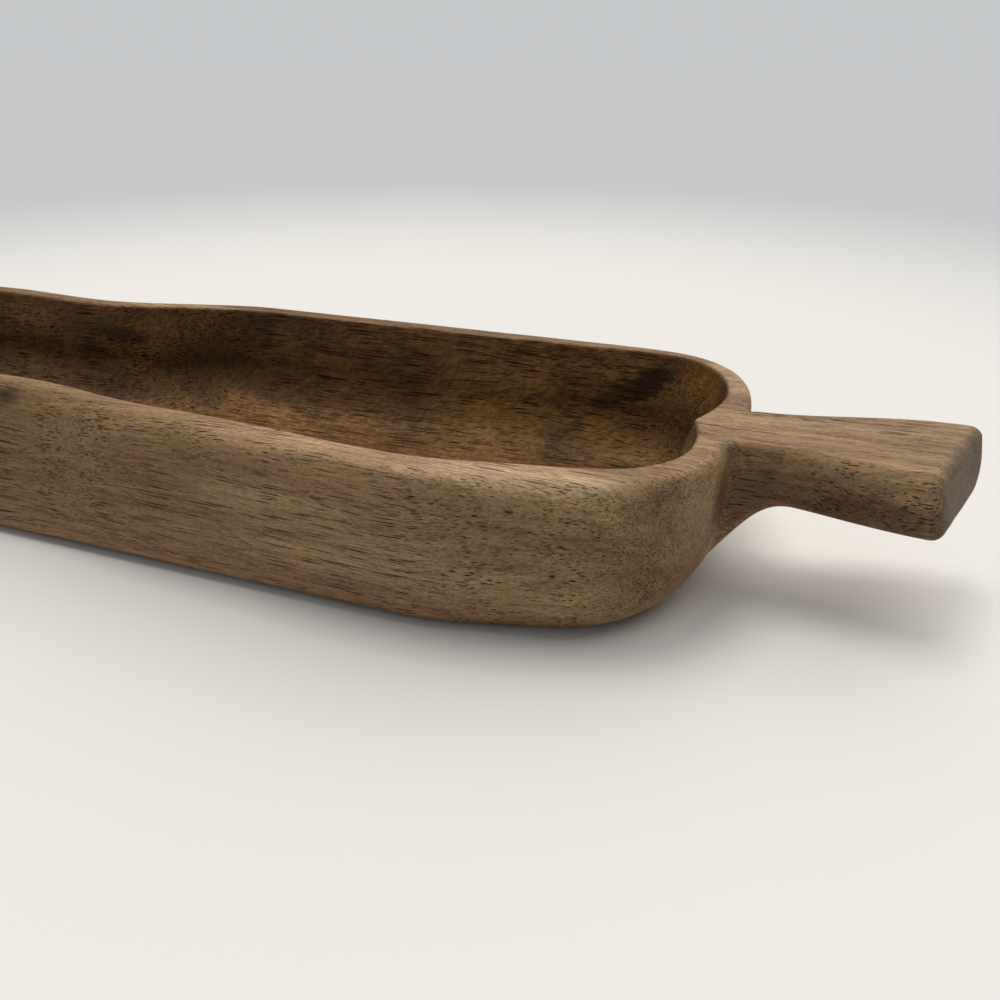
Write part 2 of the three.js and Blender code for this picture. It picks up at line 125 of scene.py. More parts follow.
def direction(turn_degrees: float, height_degrees: float) -> Vector:
    """A level direction that turns from +Y towards +X, raised by the height."""
    turn = math.radians(turn_degrees)
    height = math.radians(height_degrees)
    level = math.cos(height)
    return Vector((math.sin(turn) * level, math.cos(turn) * level, math.sin(height)))


def facing(sight: Vector) -> Euler:
    """The turn of a lamp or a camera that looks along this direction."""
    return sight.to_track_quat("-Z", "Y").to_euler()


def linked(name: str, data: bpy.types.ID) -> bpy.types.Object:
    """A new object in the scene that shows this mesh, lamp or camera."""
    made = bpy.data.objects.new(name, data)
    bpy.context.scene.collection.objects.link(made)
    return made


class Hand(Enum):
    """The dish's two long sides, by the sign of Y. The near one faces the camera."""

    NEAR = -1
    FAR = 1


@dataclass(frozen=True)
class SideSizes:
    """Sizes of one long side, as knots against the distance from the neck."""

    hand: Hand
    skew_degrees: float
    half_widths: Knots
    foot_half_widths: Knots
    rim_widths: Knots
    edge_radii: Knots


@dataclass
class Stations:
    """Places round the dish's outline, with what the profile at each of them needs."""

    rim: np.ndarray
    foot: np.ndarray
    inward: np.ndarray
    room: np.ndarray
    width: np.ndarray
    edge_radius: np.ndarray
    sweep_length: np.ndarray
    sweep_height: np.ndarray


class Skin:
    """Vertices and faces of the carving, gathered as its forms are made."""

    def __init__(self) -> None:
        """Starts with nothing."""
        self.points = np.zeros((0, 3))
        self.weights = np.zeros((0, 2))
        self.quads = np.zeros((0, 4), int)
        self.triangles = np.zeros((0, 3), int)

    def add(self, points: np.ndarray, hollow: Numbers = 0.0, cut: float = 0.0) -> np.ndarray:
        """Adds points.

        Args:
            points: Places, whose last axis is x, y and z.
            hollow: How far each belongs to the inside of the dish, from 0 to 1.
            cut: The same for the stem's sawn end.

        Returns:
            The new vertices' numbers, in the points' own shape.
        """
        shape = points.shape[:-1]
        first = len(self.points)
        weights = np.zeros(shape + (2,))
        weights[..., 0] = hollow
        weights[..., 1] = cut
        self.points = np.concatenate([self.points, points.reshape(-1, 3)])
        self.weights = np.concatenate([self.weights, weights.reshape(-1, 2)])
        return np.arange(first, len(self.points)).reshape(shape)

    def add_quads(self, quads: np.ndarray) -> None:
        """Adds four-sided faces, one row each."""
        self.quads = np.concatenate([self.quads, quads.reshape(-1, 4)])

    def add_triangles(self, triangles: list[list[int]]) -> None:
        """Adds three-sided faces, one row each."""
        self.triangles = np.concatenate([self.triangles, np.array(triangles, int)])

    def band(self, start: np.ndarray, stop: np.ndarray) -> None:
        """Joins two closed loops of equal length with a band of quads."""
        following = np.roll(start, -1)
        self.add_quads(np.stack([following, start, stop, np.roll(stop, -1)], axis=1))

    def close_level(self, loop: np.ndarray, facing_down: bool) -> None:
        """Closes a level loop whose first half faces its second across a middle line."""
        count = len(loop)
        for i in range(count // 2):
            corners = [int(loop[k % count]) for k in (i, i + 1, count - i - 1, count - i)]
            if not facing_down:
                corners.reverse()
            distinct = [c for k, c in enumerate(corners) if c != corners[(k + 1) % 4]]
            if len(distinct) == 4:
                self.add_quads(np.array([distinct]))
            else:
                self.add_triangles([distinct])

    def close_fan(self, loop: np.ndarray, cut: float) -> None:
        """Closes a loop with a fan about its middle, which belongs to the sawn end by cut."""
        middle = int(self.add(self.points[loop].mean(axis=0)[None], cut=cut)[0])
        self.add_triangles([[b, a, middle] for a, b in zip(loop, np.roll(loop, -1))])

    def fair(self, chosen: np.ndarray, passes: int) -> None:
        """Moves each chosen vertex to the middle of its neighbours, some times over."""
        sides = [np.stack([faces.ravel(), np.roll(faces, -1, axis=1).ravel()], axis=1)
                 for faces in (self.quads, self.triangles)]
        links = np.concatenate(sides)
        links = links[np.isin(links[:, 0], chosen)]
        counts = np.bincount(links[:, 0], minlength=len(self.points))[chosen, None]
        for _ in range(passes):
            sums = np.zeros_like(self.points)
            np.add.at(sums, links[:, 0], self.points[links[:, 1]])
            self.points[chosen] = sums[chosen] / counts

    def to_object(self, name: str, move: Vector) -> bpy.types.Object:
        """Makes an object of the faces gathered so far.

        Args:
            name: The object's name.
            move: What is added to every place, in metres.

        Returns:
            The object, at the origin, with the weights as attributes hollow and sawn_end.
        """
        corners = np.concatenate([self.quads.ravel(), self.triangles.ravel()])
        used, numbers = np.unique(corners, return_inverse=True)
        quads = numbers[: self.quads.size].reshape(-1, 4)
        triangles = numbers[self.quads.size :].reshape(-1, 3)
        mesh = bpy.data.meshes.new(name)
        places = self.points[used] * MM + np.array(move)
        mesh.from_pydata(places.tolist(), [], quads.tolist() + triangles.tolist())
        for column, attribute_name in enumerate(("hollow", "sawn_end")):
            attribute = mesh.attributes.new(attribute_name, "FLOAT", "POINT")
            attribute.data.foreach_set("value", self.weights[used, column].astype(np.float32))
        mesh.update()
        return linked(name, mesh)


@dataclass
class Dish:
    """The hollowed dish: an outline with two lobes at the neck, and a profile all round it."""

    length: float = 490.0
    end_length: float = 51.0
    end_exponent: float = 2.35
    tip_length: float = 128.0
    tip_exponent: float = 1.85
    skew_reach: float = 102.0
    rim_height: float = 55.0
    floor_thickness: float = 12.0
    foot_half_width: float = 68.3
    foot_radius: float = 7.0
    end_sweep_length: float = 22.0
    end_sweep_height: float = 29.5
    tip_sweep_length: float = 30.0
    tip_sweep_height: float = 30.0
    sweep_exponent: float = 2.3
    sweep_onset_exponent: float = 1.3
    lobe_rim: float = 9.5
    rim_outer_radius: float = 4.0
    rim_inner_radius: float = 1.2
    hollow_draft: float = 5.0
    hollow_radius: float = 22.0
    hollow_room_share: float = 0.9
    spine_inset: float = 62.0
    spine_softness: float = 20.7
    cusp_depth: float = 6.0
    cusp_half_span: float = 32.0
    cusp_exponent: float = 1.5
    stations_per_side: int = 160
    station_crowding_share: float = 0.5
    root_stations: int = 12
    foot_rows: int = 5
    sweep_rows: int = 16
    sweep_rows_below_stem: int = 8
    wall_rows: int = 6
    edge_rows: int = 6
    top_rows: int = 4
    inner_edge_rows: int = 3
    inner_wall_rows: int = 5
    hollow_rows: int = 12
    floor_rows: int = 6
    floor_share: float = 0.85
    foot_row_exponent: float = 2.0
    floor_row_exponent: float = 1.5
    outline_samples: int = 2400

    def __post_init__(self) -> None:
        """Sets the two sides out from the sizes that they share."""
        self.near = SideSizes(
            hand=Hand.NEAR,
            skew_degrees=3.0,
            half_widths=((34.0, 60.5), (98.0, 67.5), (190.0, 62.0), (257.0, 55.5), (350.0, 59.0)),
            foot_half_widths=((34.0, 60.5), (98.0, self.foot_half_width)),
            rim_widths=((0.0, self.lobe_rim), (34.0, 13.5), (98.0, 12.5)),
            edge_radii=((98.0, self.rim_outer_radius), (225.0, 10.0)),
        )
        self.far = SideSizes(
            hand=Hand.FAR,
            skew_degrees=9.5,
            half_widths=((108.0, 68.2), (217.0, 68.0), (310.0, 51.9), (362.0, 55.0)),
            foot_half_widths=((108.0, self.foot_half_width),),
            rim_widths=((0.0, self.lobe_rim), (30.0, 7.5), (108.0, 10.0)),
            edge_radii=((0.0, self.rim_outer_radius),),
        )

    @property
    def low_row(self) -> int:
        """The row along which the stem's underside leaves the wall."""
        return self.foot_rows + self.sweep_rows_below_stem

    @property
    def high_row(self) -> int:
        """The row where the rim's outer edge meets its top."""
        return self.foot_rows + self.sweep_rows + self.wall_rows + self.edge_rows

    def outline(self, side: SideSizes, along: np.ndarray, knots: Knots) -> np.ndarray:
        """Points of an outline with the half widths that the knots give."""
        stem_end = rounded_end(along, self.end_length, self.end_exponent)
        tip = rounded_end(self.length - along, self.tip_length, self.tip_exponent)
        across = side.hand.value * eased(knots, along) * stem_end * tip
        fade = 1.0 - smoothstep(along, 0.0, self.skew_reach)
        skew = math.tan(math.radians(side.skew_degrees)) * across * fade
        return np.stack([skew - along, across], axis=-1)

    def along_at(self, turn: np.ndarray) -> np.ndarray:
        """Distances from the neck for even steps of a turn, closer together at both ends."""
        return self.length * (1.0 - np.cos(np.pi * turn)) / 2.0

    def side_stations(self, side: SideSizes, root_length: float) -> np.ndarray:
        """Finds where the stations of one side lie.

        Args:
            side: The side.
            root_length: How much of the outline the stem's root takes on it.

        Returns:
            Each station's distance from the neck: the first few share the root evenly, and the
            rest stand widest apart halfway to the tip.
        """
        turns = np.linspace(0.0, 1.0, self.outline_samples + 1)
        points = self.outline(side, self.along_at(turns), side.half_widths)
        paces = np.linalg.norm(np.diff(points, axis=0), axis=1)
        measured = np.concatenate([[0.0], np.cumsum(paces)])
        root = np.linspace(0.0, root_length, self.root_stations + 1)
        t = shares(self.stations_per_side - self.root_stations)
        even = t - self.station_crowding_share * np.sin(2.0 * np.pi * t) / (2.0 * np.pi)
        wanted = np.concatenate([root, lerp(root_length, measured[-1], even)])
        return self.along_at(np.interp(wanted, measured, turns))

    def facing_inward(self, along: np.ndarray) -> np.ndarray:
        """The points of the middle line that stations face: it stops short of both ends."""
        last = self.length - self.spine_inset
        first = self.spine_inset
        beyond = (along + first + np.hypot(along - first, self.spine_softness)) / 2.0
        held = (beyond + last - np.hypot(beyond - last, self.spine_softness)) / 2.0
        return np.stack([-held, np.zeros_like(held)], axis=-1)

    def stations_of(self, side: SideSizes, root_length: float) -> Stations:
        """Works out the stations of one side, from the neck to the tip."""
        along = self.side_stations(side, root_length)
        rim = self.outline(side, along, side.half_widths)
        foot = self.outline(side, along, side.foot_half_widths)
        inward = self.facing_inward(along) - rim
        room = np.linalg.norm(inward, axis=1)
        inward = inward / room[:, None]
        to_stem = np.maximum(-inward[:, 0], 0.0) ** self.sweep_onset_exponent
        to_tip = np.maximum(inward[:, 0], 0.0) ** self.sweep_onset_exponent

        def blend(stem: float, tip: float) -> np.ndarray:
            """A size that is the foot's radius at the flanks and these two at the ends."""
            grown = to_stem * (stem - self.foot_radius) + to_tip * (tip - self.foot_radius)
            return self.foot_radius + grown

        nearness = np.maximum(0.0, 1.0 - np.abs(rim[:, 1]) / self.cusp_half_span)
        cusp = np.where(along < self.end_length, self.cusp_depth * nearness**self.cusp_exponent, 0.0)
        return Stations(
            rim=rim,
            foot=foot,
            inward=inward,
            room=room,
            width=eased(side.rim_widths, along) + cusp,
            edge_radius=eased(side.edge_radii, along),
            sweep_length=blend(self.end_sweep_length, self.tip_sweep_length),
            sweep_height=blend(self.end_sweep_height, self.tip_sweep_height),
        )

    def stations(self, root_lengths: dict[Hand, float]) -> Stations:
        """All stations once round: from the neck down the near side and back up the far side."""
        near = self.stations_of(self.near, root_lengths[Hand.NEAR])
        far = self.stations_of(self.far, root_lengths[Hand.FAR])
        joined = {name: np.concatenate([value, getattr(far, name)[1:-1][::-1]])
                  for name, value in vars(near).items()}
        return Stations(**joined)

    def outside(self, at: Stations, inset: Numbers, height: Numbers) -> np.ndarray:
        """Points of the outside: the wall leans from the foot's outline to the rim's."""
        level = np.broadcast_to(height, at.room.shape)
        up = smoothstep(level, 0.0, self.rim_height)[:, None]
        plan = lerp(at.foot, at.rim, up) + at.inward * np.broadcast_to(inset, at.room.shape)[:, None]
        return np.concatenate([plan, level[:, None]], axis=1)

    def inside(self, at: Stations, inset: Numbers, height: Numbers) -> np.ndarray:
        """Points of the rim's top or of the hollow."""
        plan = at.rim + at.inward * np.broadcast_to(inset, at.room.shape)[:, None]
        return np.concatenate([plan, np.broadcast_to(height, at.room.shape)[:, None]], axis=1)

    def outer_rows(self, at: Stations) -> list[np.ndarray]:
        """Rows from the middle of the foot's flat, round its sweep and up to the rim."""
        power = 2.0 / self.sweep_exponent
        wall_top = self.rim_height - at.edge_radius
        rows = []
        for t in shares(self.foot_rows)[::-1]:
            flat = self.floor_share * t**self.foot_row_exponent * (at.room - at.sweep_length)
            rows.append(self.outside(at, at.sweep_length + flat, 0.0))
        for t in np.linspace(0.0, 1.0, self.sweep_rows + 1):
            inset = at.sweep_length * (1.0 - math.sin(QUARTER_TURN * t) ** power)
            height = at.sweep_height * (1.0 - max(math.cos(QUARTER_TURN * t), 0.0) ** power)
            rows.append(self.outside(at, inset, height))
        for t in shares(self.wall_rows):
            rows.append(self.outside(at, 0.0, lerp(at.sweep_height, wall_top, t)))
        for t in shares(self.edge_rows):
            inset = at.edge_radius * (1.0 - math.cos(QUARTER_TURN * t))
            height = wall_top + at.edge_radius * math.sin(QUARTER_TURN * t)
            rows.append(self.outside(at, inset, height))
        return rows

    def inner_rows(self, at: Stations) -> list[np.ndarray]:
        """Rows over the rim's top, down into the hollow and out onto its floor."""
        brink = at.width - self.rim_inner_radius
        hollow_top = self.rim_height - self.rim_inner_radius
        wall_foot = at.width + self.hollow_draft
        deepest = min(self.hollow_radius, hollow_top - self.floor_thickness)
        radius = np.minimum(deepest, self.hollow_room_share * (at.room - wall_foot))
        rows = []
        for t in shares(self.top_rows):
            rows.append(self.inside(at, lerp(at.edge_radius, brink, t), self.rim_height))
        for t in shares(self.inner_edge_rows):
            inset = brink + self.rim_inner_radius * math.sin(QUARTER_TURN * t)
            height = hollow_top + self.rim_inner_radius * math.cos(QUARTER_TURN * t)
            rows.append(self.inside(at, inset, height))
        for t in shares(self.inner_wall_rows):
            height = lerp(hollow_top, self.floor_thickness + radius, t)
            rows.append(self.inside(at, at.width + self.hollow_draft * t, height))
        for t in shares(self.hollow_rows):
            inset = wall_foot + radius * (1.0 - math.cos(QUARTER_TURN * t))
            height = self.floor_thickness + radius * (1.0 - math.sin(QUARTER_TURN * t))
            rows.append(self.inside(at, inset, height))
        for t in shares(self.floor_rows):
            share = self.floor_share * t**self.floor_row_exponent
            inset = lerp(wall_foot + radius, at.room, share)
            rows.append(self.inside(at, inset, self.floor_thickness))
        return rows

    def build(self, skin: Skin, root_lengths: dict[Hand, float]) -> tuple[np.ndarray, np.ndarray]:
        """Adds the dish to the skin, with a hole where the stem will stand.

        Args:
            skin: What the faces are added to.
            root_lengths: How much of the outline the stem's root takes on each side.

        Returns:
            Every point and its vertex number, by station and row.
        """
        at = self.stations(root_lengths)
        outer = self.outer_rows(at)
        inner = self.inner_rows(at)
        columns = np.stack(outer + inner, axis=1)
        hollow = np.zeros(columns.shape[1])
        brink = len(outer) + self.top_rows
        hollow[brink : brink + self.inner_edge_rows] = shares(self.inner_edge_rows)
        hollow[brink + self.inner_edge_rows :] = 1.0
        vertices = skin.add(columns, hollow=hollow)
        following = np.roll(vertices, -1, axis=0)
        corners = [vertices[:, :-1], vertices[:, 1:], following[:, 1:], following[:, :-1]]
        quads = np.stack(corners, axis=-1)
        kept = np.ones(quads.shape[:2], bool)
        kept[: self.root_stations, self.low_row : self.high_row] = False
        kept[-self.root_stations :, self.low_row : self.high_row] = False
        skin.add_quads(quads[kept])
        skin.close_level(vertices[:, 0], facing_down=True)
        skin.close_level(vertices[:, -1], facing_down=False)
        return columns, vertices

    def hole_edge(self) -> tuple[np.ndarray, np.ndarray]:
        """The hole's edge as stations and rows: up the near side, across the rim, down the far
        side and back below the stem."""
        root = self.root_stations
        up = np.arange(self.low_row, self.high_row)
        back = np.arange(root, -root, -1)
        down = np.arange(self.high_row, self.low_row, -1)
        forth = np.arange(-root, root)
        stations = [np.full_like(up, root), back, np.full_like(down, -root), forth]
        rows = [up, np.full_like(back, self.high_row), down, np.full_like(forth, self.low_row)]
        return np.concatenate(stations), np.concatenate(rows)

    def hole_normals(self, columns: np.ndarray, stations: np.ndarray, rows: np.ndarray) -> np.ndarray:
        """The skin's directions outwards at the hole's edge: straight up along the rim's top."""
        count = len(columns)
        above = columns[(stations + 1) % count, rows] - columns[(stations - 1) % count, rows]
        upwards = columns[stations % count, rows + 1] - columns[stations % count, rows - 1]
        normals = np.cross(upwards, above)
        normals[rows == self.high_row] = UPWARDS
        return normals / np.linalg.norm(normals, axis=1)[:, None]


@dataclass
class StemSize:
    """One side's sizes of the stem's section along some of its lines."""

    half: np.ndarray
    high: np.ndarray
    low: np.ndarray
    bevel: np.ndarray
    radius: np.ndarray


@dataclass
class StemHandle:
    """The stub of a stem: lines run along it from the edge of the dish's hole to the sawn end."""

    length: float = 65.3
    root_near: float = 14.0
    end_near: float = 23.0
    root_far: float = 13.8
    end_far: float = 25.3
    root_thickness: float = 20.8
    end_thickness: float = 21.5
    rise: float = 0.4
    root_bevel: float = 1.5
    near_bevel: float = 5.6
    far_bevel: float = 3.0
    bevel_exponent: float = 1.35
    lower_radius: float = 4.5
    far_lower_radius: float = 12.0
    end_radius: float = 4.0
    least_radius: float = 0.3
    cut_degrees: float = 21.5
    undercut_degrees: float = 14.0
    side_fillet: float = 3.5
    under_fillet: float = 19.0
    fillet_leaving_share: float = 0.5
    fillet_arriving_share: float = 0.3
    fillet_rings: int = 14
    stem_rings: int = 14
    end_edge_rings: int = 6
    end_face_shares: tuple[float, ...] = (0.05, 0.16, 0.4, 0.7)
    fairing_passes: int = 6
    cut_rounds: int = 6

    def root_lengths(self) -> dict[Hand, float]:
        """How much of the dish's outline the stem takes on each side of the neck."""
        return {
            Hand.NEAR: self.root_near + self.side_fillet,
            Hand.FAR: self.root_far + self.side_fillet,
        }

    def size(self, dish: Dish, distance: np.ndarray, shrink: float, hand: Hand) -> StemSize:
        """One side's sizes.

        Args:
            dish: The dish, whose rim the stem's top continues.
            distance: Distances from the neck.
            shrink: How far the section is drawn in from the surface.
            hand: The side.

        Returns:
            The sizes at each distance.
        """
        near = hand is Hand.NEAR
        root, end = (self.root_near, self.end_near) if near else (self.root_far, self.end_far)
        t = distance / self.length
        top = dish.rim_height + self.rise * t * t
        bevel = lerp(self.root_bevel, self.near_bevel if near else self.far_bevel, t)
        radius = lerp(self.lower_radius, self.lower_radius if near else self.far_lower_radius, t)
        return StemSize(
            half=lerp(root, end, smoothstep(t, 0.0, 1.0)) - shrink,
            high=top - shrink,
            low=top - lerp(self.root_thickness, self.end_thickness, t) + shrink,
            bevel=np.maximum(bevel - shrink, self.least_radius),
            radius=np.maximum(radius - shrink, self.least_radius),
        )

    @staticmethod
    def flank(part: np.ndarray, side: StemSize) -> np.ndarray:
        """One flank, as if it were the near one: up from the middle of its lower corner."""
        curve = side.radius * QUARTER_TURN / 2.0
        straight = (side.high - side.bevel) - (side.low + side.radius)
        gone = part * (curve + straight)
        turn = 2.5 * QUARTER_TURN - np.minimum(gone, curve) / side.radius
        x = -side.half + side.radius * (1.0 + np.cos(turn))
        y = side.low + side.radius * (1.0 + np.sin(turn)) + np.maximum(gone - curve, 0.0)
        return np.stack([x, y], axis=1)

    def bevel(self, part: np.ndarray, side: StemSize) -> np.ndarray:
        """The bevel above that flank. Its two arrises are eased."""
        power = 2.0 / self.bevel_exponent
        turn = part * QUARTER_TURN
        x = -side.half + side.bevel * (1.0 - np.maximum(np.cos(turn), 0.0) ** power)
        return np.stack([x, side.high - side.bevel * (1.0 - np.sin(turn) ** power)], axis=1)

    @staticmethod
    def lid(part: np.ndarray, near: StemSize, far: StemSize) -> np.ndarray:
        """Across the top, from the near bevel to the far one."""
        return np.stack([lerp(near.bevel - near.half, far.half - far.bevel, part), near.high], axis=1)

    @staticmethod
    def belly(part: np.ndarray, near: StemSize, far: StemSize) -> np.ndarray:
        """Below, from the middle of the far lower corner to that of the near one."""
        far_curve = far.radius * QUARTER_TURN / 2.0
        near_curve = near.radius * QUARTER_TURN / 2.0
        straight = far.half - far.radius + near.half - near.radius
        gone = part * (far_curve + straight + near_curve)
        far_turn = -0.5 * QUARTER_TURN - np.minimum(gone, far_curve) / far.radius
        near_turn = -QUARTER_TURN - np.maximum(gone - far_curve - straight, 0.0) / near.radius
        crossed = np.clip(gone - far_curve, 0.0, straight)
        x = far.radius * np.cos(far_turn) + near.radius * np.cos(near_turn)
        y = far.radius * (1.0 + np.sin(far_turn)) + near.radius * (1.0 + np.sin(near_turn))
        return np.stack([far.half - far.radius - crossed + x, far.low + y], axis=1)

    def section(self, dish: Dish, distance: np.ndarray, shrink: float) -> np.ndarray:
        """The section's points, x across and y up, each line at its own distance from the neck.

        Args:
            dish: The dish, whose rows and stations set how many lines each stretch has.
            distance: One distance for each line, in the order of the hole's edge.
            shrink: How far the points are drawn in from the surface.

        Returns:
            One point for each line.
        """
        flank_rows = dish.high_row - dish.low_row - dish.edge_rows
        across = 2 * dish.root_stations
        counts = (flank_rows, dish.edge_rows, across, dish.edge_rows, flank_rows, across)
        stretches = np.split(distance, np.cumsum(counts)[:-1])
        near = [self.size(dish, stretch, shrink, Hand.NEAR) for stretch in stretches]
        far = [self.size(dish, stretch, shrink, Hand.FAR) for stretch in stretches]
        part = [np.arange(count) / count for count in counts]
        mirrored = (-1.0, 1.0)
        return np.concatenate([
            self.flank(part[0], near[0]),
            self.bevel(part[1], near[1]),
            self.lid(part[2], near[2], far[2]),
            self.bevel(1.0 - part[3], far[3]) * mirrored,
            self.flank(1.0 - part[4], far[4]) * mirrored,
            self.belly(part[5], near[5], far[5]),
        ])

    def points(self, dish: Dish, distance: np.ndarray, shrink: float) -> np.ndarray:
        """Each line's point at its own distance from the neck, drawn in by shrink."""
        return np.column_stack([distance, self.section(dish, distance, shrink)])

    def cut_distance(self, dish: Dish, lines: int, shrink: float) -> np.ndarray:
        """Where each line meets the slanted cut: the section widens along the stem, so the
        distance is found in a few rounds."""
        distance = np.full(lines, self.length)
        for _ in range(self.cut_rounds):
            place = self.section(dish, distance, shrink)
            slant = math.tan(math.radians(self.cut_degrees)) * place[:, 0]
            undercut = math.tan(math.radians(self.undercut_degrees)) * (dish.rim_height - place[:, 1])
            distance = self.length + slant + undercut
        return distance

    def fillet_ends(self, dish: Dish, lines: int) -> np.ndarray:
        """How far out each line's fillet ends: short beside the stem and long below it."""
        depth = dish.rim_height - self.section(dish, np.zeros(lines), 0.0)[:, 1]
        low = smoothstep(depth, self.root_thickness / 2.0, self.root_thickness)
        return lerp(self.side_fillet, self.under_fillet, low)

    def fillets(self, start: np.ndarray, normals: np.ndarray, stop: np.ndarray) -> list[np.ndarray]:
        """Rings of the fillets, which leave the dish along its skin and join the stem along its
        axis, as cubic curves."""
        straight = stop - start
        reach = np.linalg.norm(straight, axis=1)[:, None]
        leaving = straight - (straight * normals).sum(axis=1)[:, None] * normals
        leaving *= self.fillet_leaving_share * reach / np.linalg.norm(leaving, axis=1)[:, None]
        first = start + leaving
        second = stop - self.fillet_arriving_share * reach * FORWARDS
        rings = []
        for t in shares(self.fillet_rings):
            left = 1.0 - t
            bend = 3.0 * t * left * (first * left + second * t)
            rings.append(start * left**3 + bend + stop * t**3)
        return rings

    def build(self, skin: Skin, dish: Dish, columns: np.ndarray, vertices: np.ndarray) -> None:
        """Adds the stem to the skin.

        Args:
            skin: What the faces are added to.
            dish: The dish that it grows out of.
            columns: The dish's points, by station and row.
            vertices: Their vertex numbers.
        """
        stations, rows = dish.hole_edge()
        lines = len(stations)
        start = columns[stations % len(columns), rows]
        ends = self.fillet_ends(dish, lines)
        stop = self.points(dish, ends, 0.0)
        rings = [vertices[stations % len(columns), rows]]
        for ring in self.fillets(start, dish.hole_normals(columns, stations, rows), stop):
            rings.append(skin.add(ring))
        last = self.cut_distance(dish, lines, 0.0) - self.end_radius
        for t in shares(self.stem_rings):
            rings.append(skin.add(self.points(dish, lerp(ends, last, t), 0.0)))
        for t in shares(self.end_edge_rings):
            shrink = self.end_radius * (1.0 - math.cos(QUARTER_TURN * t))
            back = self.end_radius * (1.0 - math.sin(QUARTER_TURN * t))
            distance = self.cut_distance(dish, lines, shrink) - back
            rings.append(skin.add(self.points(dish, distance, shrink), cut=t))
        edge = skin.points[rings[-1]]
        for share in self.end_face_shares:
            rings.append(skin.add(lerp(edge, edge.mean(axis=0), share), cut=1.0))
        for one, other in zip(rings, rings[1:]):
            skin.band(one, other)
        skin.close_fan(rings[-1], cut=1.0)
        skin.fair(np.concatenate(rings[: self.fillet_rings]), self.fairing_passes)


class NodeBoard:
    """Adds and links the nodes of one tree, be it a material's, the world's or a mesh's."""

    def __init__(self, tree: bpy.types.NodeTree) -> None:
        """Takes the tree that the nodes go into."""
        self.tree = tree

    def add(
        self, kind: str, inputs: dict[str | int, object] | None = None, **settings: object
    ) -> bpy.types.Node:
        """Adds a node.

        Args:
            kind: The node's type.
            inputs: Values or links for its inputs, by name or number.
            settings: Its other settings.

        Returns:
            The node.
        """
        node = self.tree.nodes.new(kind)
        for name, value in settings.items():
            setattr(node, name, value)
        for name, value in (inputs or {}).items():
            self.feed(node.inputs[name], value)
        return node

    def feed(self, socket: Socket, value: object) -> None:
        """Links a socket to this input, or sets the input to this value."""
        if isinstance(value, bpy.types.NodeSocket):
            self.tree.links.new(value, socket)
        else:
            socket.default_value = value

    def math(self, operation: str, *values: object, clamped: bool = False) -> Socket:
        """One step of arithmetic on numbers."""
        inputs = dict(enumerate(values))
        return self.add("ShaderNodeMath", inputs, operation=operation, use_clamp=clamped).outputs[0]

    def vector(self, operation: str, *values: object) -> Socket:
        """One step of arithmetic on vectors. A length comes out as a number."""
        node = self.add("ShaderNodeVectorMath", dict(enumerate(values)), operation=operation)
        return node.outputs["Value" if operation == "LENGTH" else "Vector"]

    def scaled(self, vector: Socket, factor: Socket) -> Socket:
        """A vector or a colour times a number."""
        inputs = {0: vector, "Scale": factor}
        return self.add("ShaderNodeVectorMath", inputs, operation="SCALE").outputs["Vector"]

    def ramp(self, value: Socket, low: object, high: object) -> Socket:
        """Eases from 0 at low to 1 at high. It falls where low is the greater."""
        reaches = {"Value": value, "From Min": low, "From Max": high}
        return self.add("ShaderNodeMapRange", reaches, interpolation_type="SMOOTHSTEP").outputs[0]

    def carried(self, value: Socket, start: tuple[float, float], stop: tuple[float, float]) -> Socket:
        """A value carried from one range over to another, and held within it."""
        ends = {"From Min": start[0], "From Max": start[1], "To Min": stop[0], "To Max": stop[1]}
        return self.add("ShaderNodeMapRange", {"Value": value, **ends}).outputs[0]

    def mix(self, share: Socket, first: object, second: object) -> Socket:
        """One colour laid over another, by a share."""
        node = self.add("ShaderNodeMix", data_type="RGBA")
        for number, value in ((0, share), (6, first), (7, second)):
            self.feed(node.inputs[number], value)
        return node.outputs[2]

    def place(self) -> Socket:
        """The place on the object, in millimetres."""
        coordinates = self.add("ShaderNodeTexCoord").outputs["Object"]
        return self.vector("DIVIDE", coordinates, (MM, MM, MM))

    def kept(self, name: str) -> Socket:
        """A number that the mesh keeps at its vertices under this name."""
        return self.add("ShaderNodeAttribute", attribute_name=name).outputs["Fac"]


class Tone(Enum):
    """The wood's colours, as they look in plain daylight, and pale and dark ones painted on as light
    and shade.
    """

    # Pale colour painted on as highlight and light, not a faded patch of the wood.
    PAINTED_LIGHT = "b89b78"
    PALE = "ab8b66"
    TAN = "997b58"
    BROWN = "7c5f42"
    ROSE = "8a6147"
    OLIVE = "7a6844"
    GREY = "534839"
    # Dark brown painted on as shade on the stem's near flank.
    PAINTED_SHADE_UMBER = "523929"
    PORE = "35200f"
    HEART = "6f4e2c"
    # Darkest tone of the hollow; also painted on as shade inside it.
    DARK_HEART_AND_SHADE = "3f2b17"
    GOLD = "9a7240"
    KNOT = "22150c"

    @property
    def linear(self) -> Colour:
        """The colour as light adds up, with full cover."""
        parts = [int(self.value[k : k + 2], 16) / 255.0 for k in (0, 2, 4)]
        return (*(p / 12.92 if p <= 0.04045 else ((p + 0.055) / 1.055) ** 2.4 for p in parts), 1.0)


Tones = tuple[tuple[float, Tone], ...]


